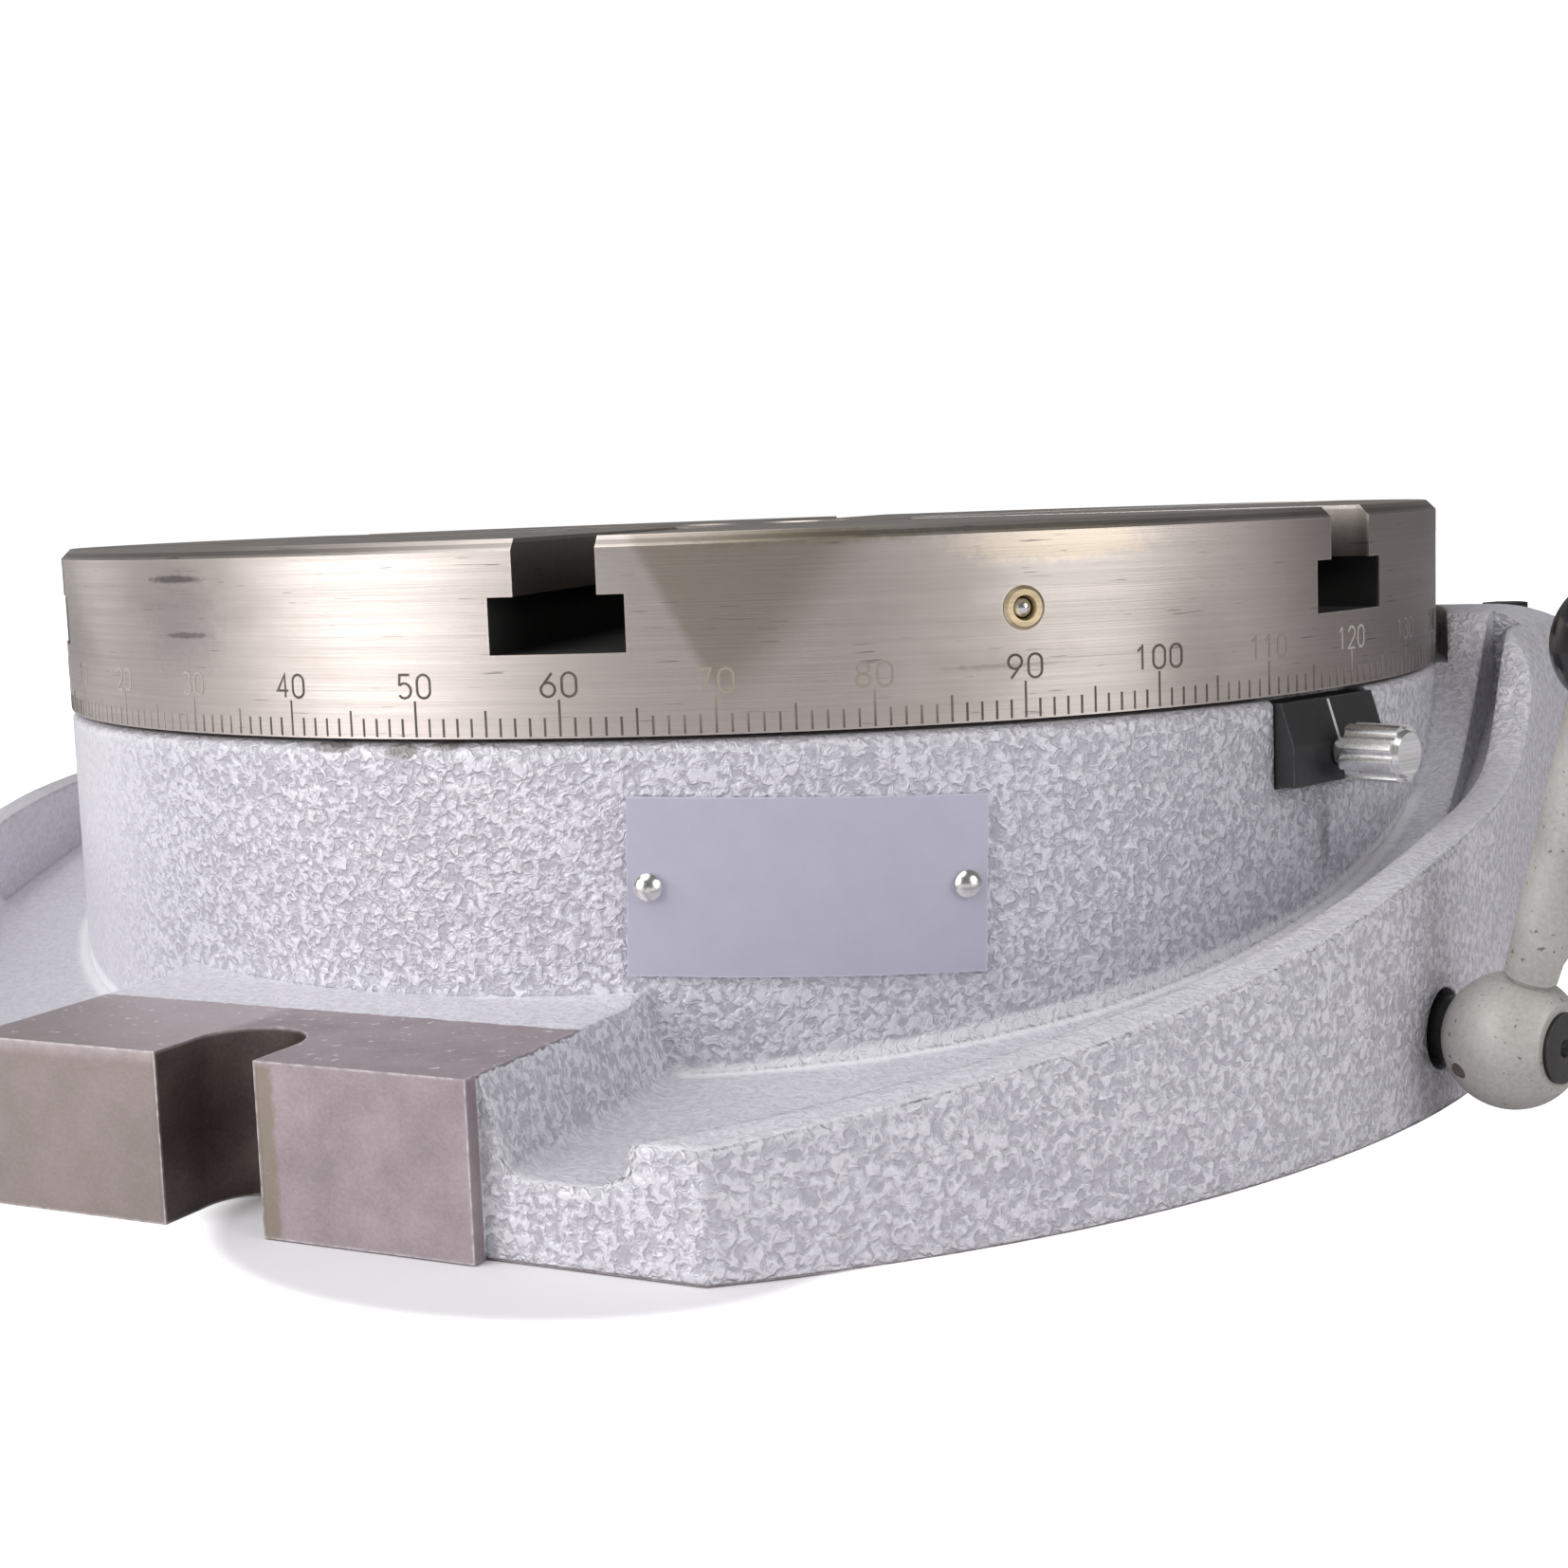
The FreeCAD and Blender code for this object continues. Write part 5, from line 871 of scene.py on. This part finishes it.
class ROTAB_OT_rim_scale(bpy.types.Operator):
    """Engrave the degree scale on the rim"""

    bl_idname = "rotab.rim_scale"
    bl_label = "Rim scale"

    def execute(self, context):
        sizes = context.scene.rotab_scale
        mesh = bmesh.new()
        for degree in range(360):
            along = math.radians(degree) * RIM_RADIUS * MM
            top = sizes.short_line
            if degree % 10 == 0:
                top = sizes.long_line
            elif degree % 5 == 0:
                top = sizes.middle_line
            run = [(along, SCALE_START), (along, SCALE_START + top)]
            ribbon(mesh, run, sizes.line_width, rim_wrap, SKIN)
            if degree % 10 == 0:
                write_number(
                    mesh, str(degree), along, SCALE_START + top + NUMERAL_GAP,
                    sizes.numeral_height, sizes.stroke_width, rim_wrap, SKIN,
                )
        ink = engraving("rim_engraving", (0.10, 0.085, 0.07), WORN)
        piece_from(mesh, "rim_scale", "table", ink)
        return {"FINISHED"}


class ROTAB_OT_plate(bpy.types.Operator):
    """Finish the bare nameplate and its rivets"""

    bl_idname = "rotab.plate"
    bl_label = "Nameplate"

    def execute(self, context):
        colour = tuple(context.scene.rotab_finish.plate_face)
        face = grained_metal("plate_satin", colour, 0.42, grain=0.3, metal=0.2, mottle=0.15)
        dress(face, "nameplate")
        dress(grained_metal("rivet_head", (0.80, 0.79, 0.77), 0.22, grain=0.3), "nameplate_rivets")
        return {"FINISHED"}


class ROTAB_OT_pointer(bpy.types.Operator):
    """Finish the zero pointer and its thumb knob, and mark the index line"""

    bl_idname = "rotab.pointer"
    bl_label = "Pointer"

    def execute(self, context):
        coat, edge = (0.04, 0.039, 0.042), (0.20, 0.20, 0.21)
        black = grained_metal("pointer_black", coat, 0.36, metal=0.3, edge_colour=edge)
        dress(black, "pointer_block")
        dress(turned_metal("knob_aluminium", (0.82, 0.82, 0.81), 0.24), "pointer_knob")
        mesh = bmesh.new()
        rise = math.hypot(*(POINTER_TOP[axis] - POINTER_BROW[axis] for axis in (0, 1))) * MM
        run = [(0.0, INDEX_INSET), (0.0, rise - INDEX_INSET)]
        ribbon(mesh, run, INDEX_WIDTH, pointer_wrap, SKIN)
        ink = engraving("line_white", (0.60, 0.60, 0.60))
        piece_from(mesh, "pointer_line", "base", ink)
        return {"FINISHED"}


class ROTAB_OT_drive(bpy.types.Operator):
    """Finish the worm drive, and engrave the dial and the vernier"""

    bl_idname = "rotab.drive"
    bl_label = "Worm drive"

    def execute(self, context):
        iron = turned_metal("sleeve_iron", (0.36, 0.35, 0.34), 0.36, round_worm=True)
        dress(iron, "eccentric_sleeve")
        dress(
            turned_metal("bush_bronze", (0.56, 0.38, 0.18), 0.3, round_worm=True),
            "worm_bush_right", "worm_bush_left", "worm_bush_outer",
        )
        dress(
            turned_metal("drive_steel", (0.56, 0.55, 0.54), 0.28, round_worm=True),
            "worm_shaft", "bearing_nut", "handwheel_key", "handwheel_washer", "crank_pin",
        )
        chrome = turned_metal("scale_chrome", (0.70, 0.70, 0.70), 0.34, round_worm=True)
        dress(chrome, "vernier_collar", "dial")
        aluminium = turned_metal("wheel_aluminium", (0.72, 0.72, 0.71), 0.26, round_worm=True)
        dress(aluminium, "handwheel", "dial_lock_screw")
        dress(grained_metal("nut_steel", (0.42, 0.41, 0.40), 0.32), "handwheel_nut", "release_rod")
        dress(moulded_plastic("black_plastic", (0.012, 0.012, 0.014), 0.22), "crank_grip")
        dress(moulded_plastic("navy_plastic", (0.010, 0.014, 0.032), 0.2), "release_ball")
        self.engrave(context.scene.rotab_scale)
        return {"FINISHED"}

    def engrave(self, sizes):
        """Lines every two minutes on the dial, and the vernier on the collar beside it."""
        ink = engraving("dial_engraving", (0.03, 0.03, 0.03))
        width = 0.7 * sizes.line_width
        low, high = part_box("dial")
        radius = (high.z - low.z) / 2
        wrap = about_worm(radius)
        start = low.x + DIAL_START
        mesh = bmesh.new()
        for index in range(DIAL_LINES):
            along = 2 * math.pi * radius * index / DIAL_LINES
            top = start + (0.0030 if index % 5 == 0 else 0.0018)
            ribbon(mesh, [(along, start), (along, top)], width, wrap, SKIN)
            if index % 10 == 0:
                label = str(index * 2 % 60) if index * 2 % 60 else str(index // 30)
                write_number(mesh, label, along, top + 0.0006, DIAL_NUMERAL, width, wrap, SKIN)
        piece_from(mesh, "dial_scale", "dial", ink)
        low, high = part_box("vernier_collar")
        radius = (high.z - low.z) / 2
        wrap = about_worm(radius)
        mesh = bmesh.new()
        for index in range(-6, 7):
            along = 2 * math.pi * radius * index * VERNIER_STEP / DIAL_LINES
            length = 0.0032 if index % 3 == 0 else 0.002
            end = high.x - VERNIER_INSET
            ribbon(mesh, [(along, end - length), (along, end)], width, wrap, SKIN)
        piece_from(mesh, "vernier_scale", "sleeve", ink)


class ROTAB_OT_clamps(bpy.types.Operator):
    """Finish the two table clamps"""

    bl_idname = "rotab.clamps"
    bl_label = "Table clamps"

    def execute(self, context):
        coat = tuple(context.scene.rotab_finish.lever_coat)
        lever = grained_metal("lever_coat", coat, 0.5, grain=0.7, metal=0.2, pits=0.8)
        dark = grained_metal("clamp_black", (0.05, 0.048, 0.046), 0.35, metal=0.8)
        steel = turned_metal("clamp_pin_steel", (0.20, 0.17, 0.15), 0.4)
        knob = moulded_plastic("clamp_plastic", (0.012, 0.012, 0.013), 0.2)
        for side in ("right", "left"):
            dress(lever, "clamp_hub_" + side, "clamp_shank_" + side)
            dress(dark, "clamp_shaft_" + side)
            dress(steel, "clamp_pin_" + side)
            dress(knob, "clamp_knob_" + side)
        return {"FINISHED"}


class ROTAB_OT_stage(bpy.types.Operator):
    """Set up the floor, the soft studio light and the camera"""

    bl_idname = "rotab.stage"
    bl_label = "Stage"

    def execute(self, context):
        scene = context.scene
        stage = scene.rotab_stage
        self.floor(stage)
        self.room(scene, stage)
        for name, spot, target, width, share in LAMPS:
            self.lamp(name, spot, target, width, stage.lamp_power * share)
        self.camera(scene)
        scene.view_settings.view_transform = "Standard"
        return {"FINISHED"}

    def floor(self, stage):
        mesh = bmesh.new()
        bmesh.ops.create_grid(mesh, x_segments=4, y_segments=4, size=4.0)
        data = bpy.data.meshes.new("floor")
        mesh.to_mesh(data)
        mesh.free()
        floor = bpy.data.objects.new("floor", data)
        floor.location.z = -0.0002
        bpy.context.scene.collection.objects.link(floor)
        material, tree, shader, position = surface("floor_card")
        marks = noise(tree, position, 0.004, 2.0)
        colour = tuple(stage.floor_colour)
        tone = blend(tree, marks, shade(colour, 0.99), colour)
        # the floor burns out to white except for a soft shade in front of the lug
        moved = vector(tree, "SUBTRACT", position, SHADE_CENTRE)
        moved = vector(tree, "MULTIPLY", moved, (1 / SHADE_RADII[0], 1 / SHADE_RADII[1], 0.0))
        reach = put(tree, "ShaderNodeVectorMath", {0: moved}, operation="LENGTH").outputs["Value"]
        seen = put(tree, "ShaderNodeLightPath").outputs["Is Camera Ray"]
        burnt = calc(tree, "MULTIPLY", ramp(tree, reach, 0.86, 1.04), seen)
        wire(
            tree, shader, Base_Color=tone, Roughness=0.9, Emission_Color=(1.0, 1.0, 1.0),
            Emission_Strength=burnt,
        )
        data.materials.append(material)

    def room(self, scene, stage):
        """Even light from all round, with a white backdrop for the camera and for reflections."""
        world = bpy.data.worlds.new("studio_room")
        world.use_nodes = True
        scene.world = world
        tree = world.node_tree
        back = tree.nodes["Background"]
        rays = put(tree, "ShaderNodeLightPath").outputs
        strength = ramp(
            tree, rays["Is Glossy Ray"], 0.0, 1.0, stage.room_light, stage.mirrored_light,
            smooth=False,
        )
        strength = calc(tree, "MAXIMUM", strength, rays["Is Camera Ray"])
        tree.links.new(strength, back.inputs["Strength"])
        back.inputs["Color"].default_value = (1, 1, 1, 1)

    def lamp(self, name, spot, target, size, power):
        light = bpy.data.lights.new(name, "AREA")
        light.shape = "DISK"
        light.size = size
        light.energy = power
        lamp = bpy.data.objects.new(name, light)
        lamp.location = spot
        lamp.rotation_euler = (Vector(target) - Vector(spot)).to_track_quat("-Z", "Y").to_euler()
        bpy.context.scene.collection.objects.link(lamp)

    def camera(self, scene):
        """The photograph's viewpoint, close in front of the right clamp."""
        yaw, pitch, roll = CAMERA_ANGLES
        turn = Matrix.Rotation(math.radians(CAMERA_TURN), 3, "Z")
        flat = math.cos(pitch)
        ahead = Vector((math.sin(yaw) * flat, math.cos(yaw) * flat, -math.sin(pitch)))
        right = Vector((math.cos(yaw), -math.sin(yaw), 0))
        down = ahead.cross(right)
        level = math.cos(roll) * right + math.sin(roll) * down
        fall = -math.sin(roll) * right + math.cos(roll) * down
        axes = [turn @ axis for axis in (level, -fall, -ahead)]
        place = Matrix(axes).transposed().to_4x4()
        place.translation = Vector(CAMERA_PLACE)
        view = bpy.data.cameras.new("camera")
        view.sensor_width = CAMERA_SENSOR
        view.lens = CAMERA_LENS
        view.clip_start = 0.02
        camera = bpy.data.objects.new("camera", view)
        camera.matrix_world = place
        scene.collection.objects.link(camera)
        scene.camera = camera


class ROTAB_PT_panel(bpy.types.Panel):
    """Lists the steps and the settings"""

    bl_idname = "ROTAB_PT_panel"
    bl_label = "Rotary table"
    bl_space_type = "VIEW_3D"
    bl_region_type = "UI"
    bl_category = "Rotary table"

    def draw(self, context):
        layout = self.layout
        for step in STEPS:
            layout.operator(step.bl_idname)
        scene = context.scene
        for group in (scene.rotab_scale, scene.rotab_finish, scene.rotab_stage):
            box = layout.box()
            for name in group.__annotations__:
                box.prop(group, name)


SETTINGS = (ScaleSettings, FinishSettings, StageSettings)
STEPS = (
    ROTAB_OT_effects,
    ROTAB_OT_casting,
    ROTAB_OT_table,
    ROTAB_OT_rim_scale,
    ROTAB_OT_plate,
    ROTAB_OT_pointer,
    ROTAB_OT_drive,
    ROTAB_OT_clamps,
    ROTAB_OT_stage,
)


def register():
    for kind in (*SETTINGS, *STEPS, ROTAB_PT_panel):
        bpy.utils.register_class(kind)
    bpy.types.Scene.rotab_scale = bpy.props.PointerProperty(type=ScaleSettings)
    bpy.types.Scene.rotab_finish = bpy.props.PointerProperty(type=FinishSettings)
    bpy.types.Scene.rotab_stage = bpy.props.PointerProperty(type=StageSettings)


def unregister():
    del bpy.types.Scene.rotab_stage
    del bpy.types.Scene.rotab_finish
    del bpy.types.Scene.rotab_scale
    for kind in (ROTAB_PT_panel, *reversed(STEPS), *reversed(SETTINGS)):
        bpy.utils.unregister_class(kind)


def main():
    register()
    for step in STEPS:
        group, name = step.bl_idname.split(".")
        getattr(getattr(bpy.ops, group), name)()


if __name__ == "__main__":
    main()
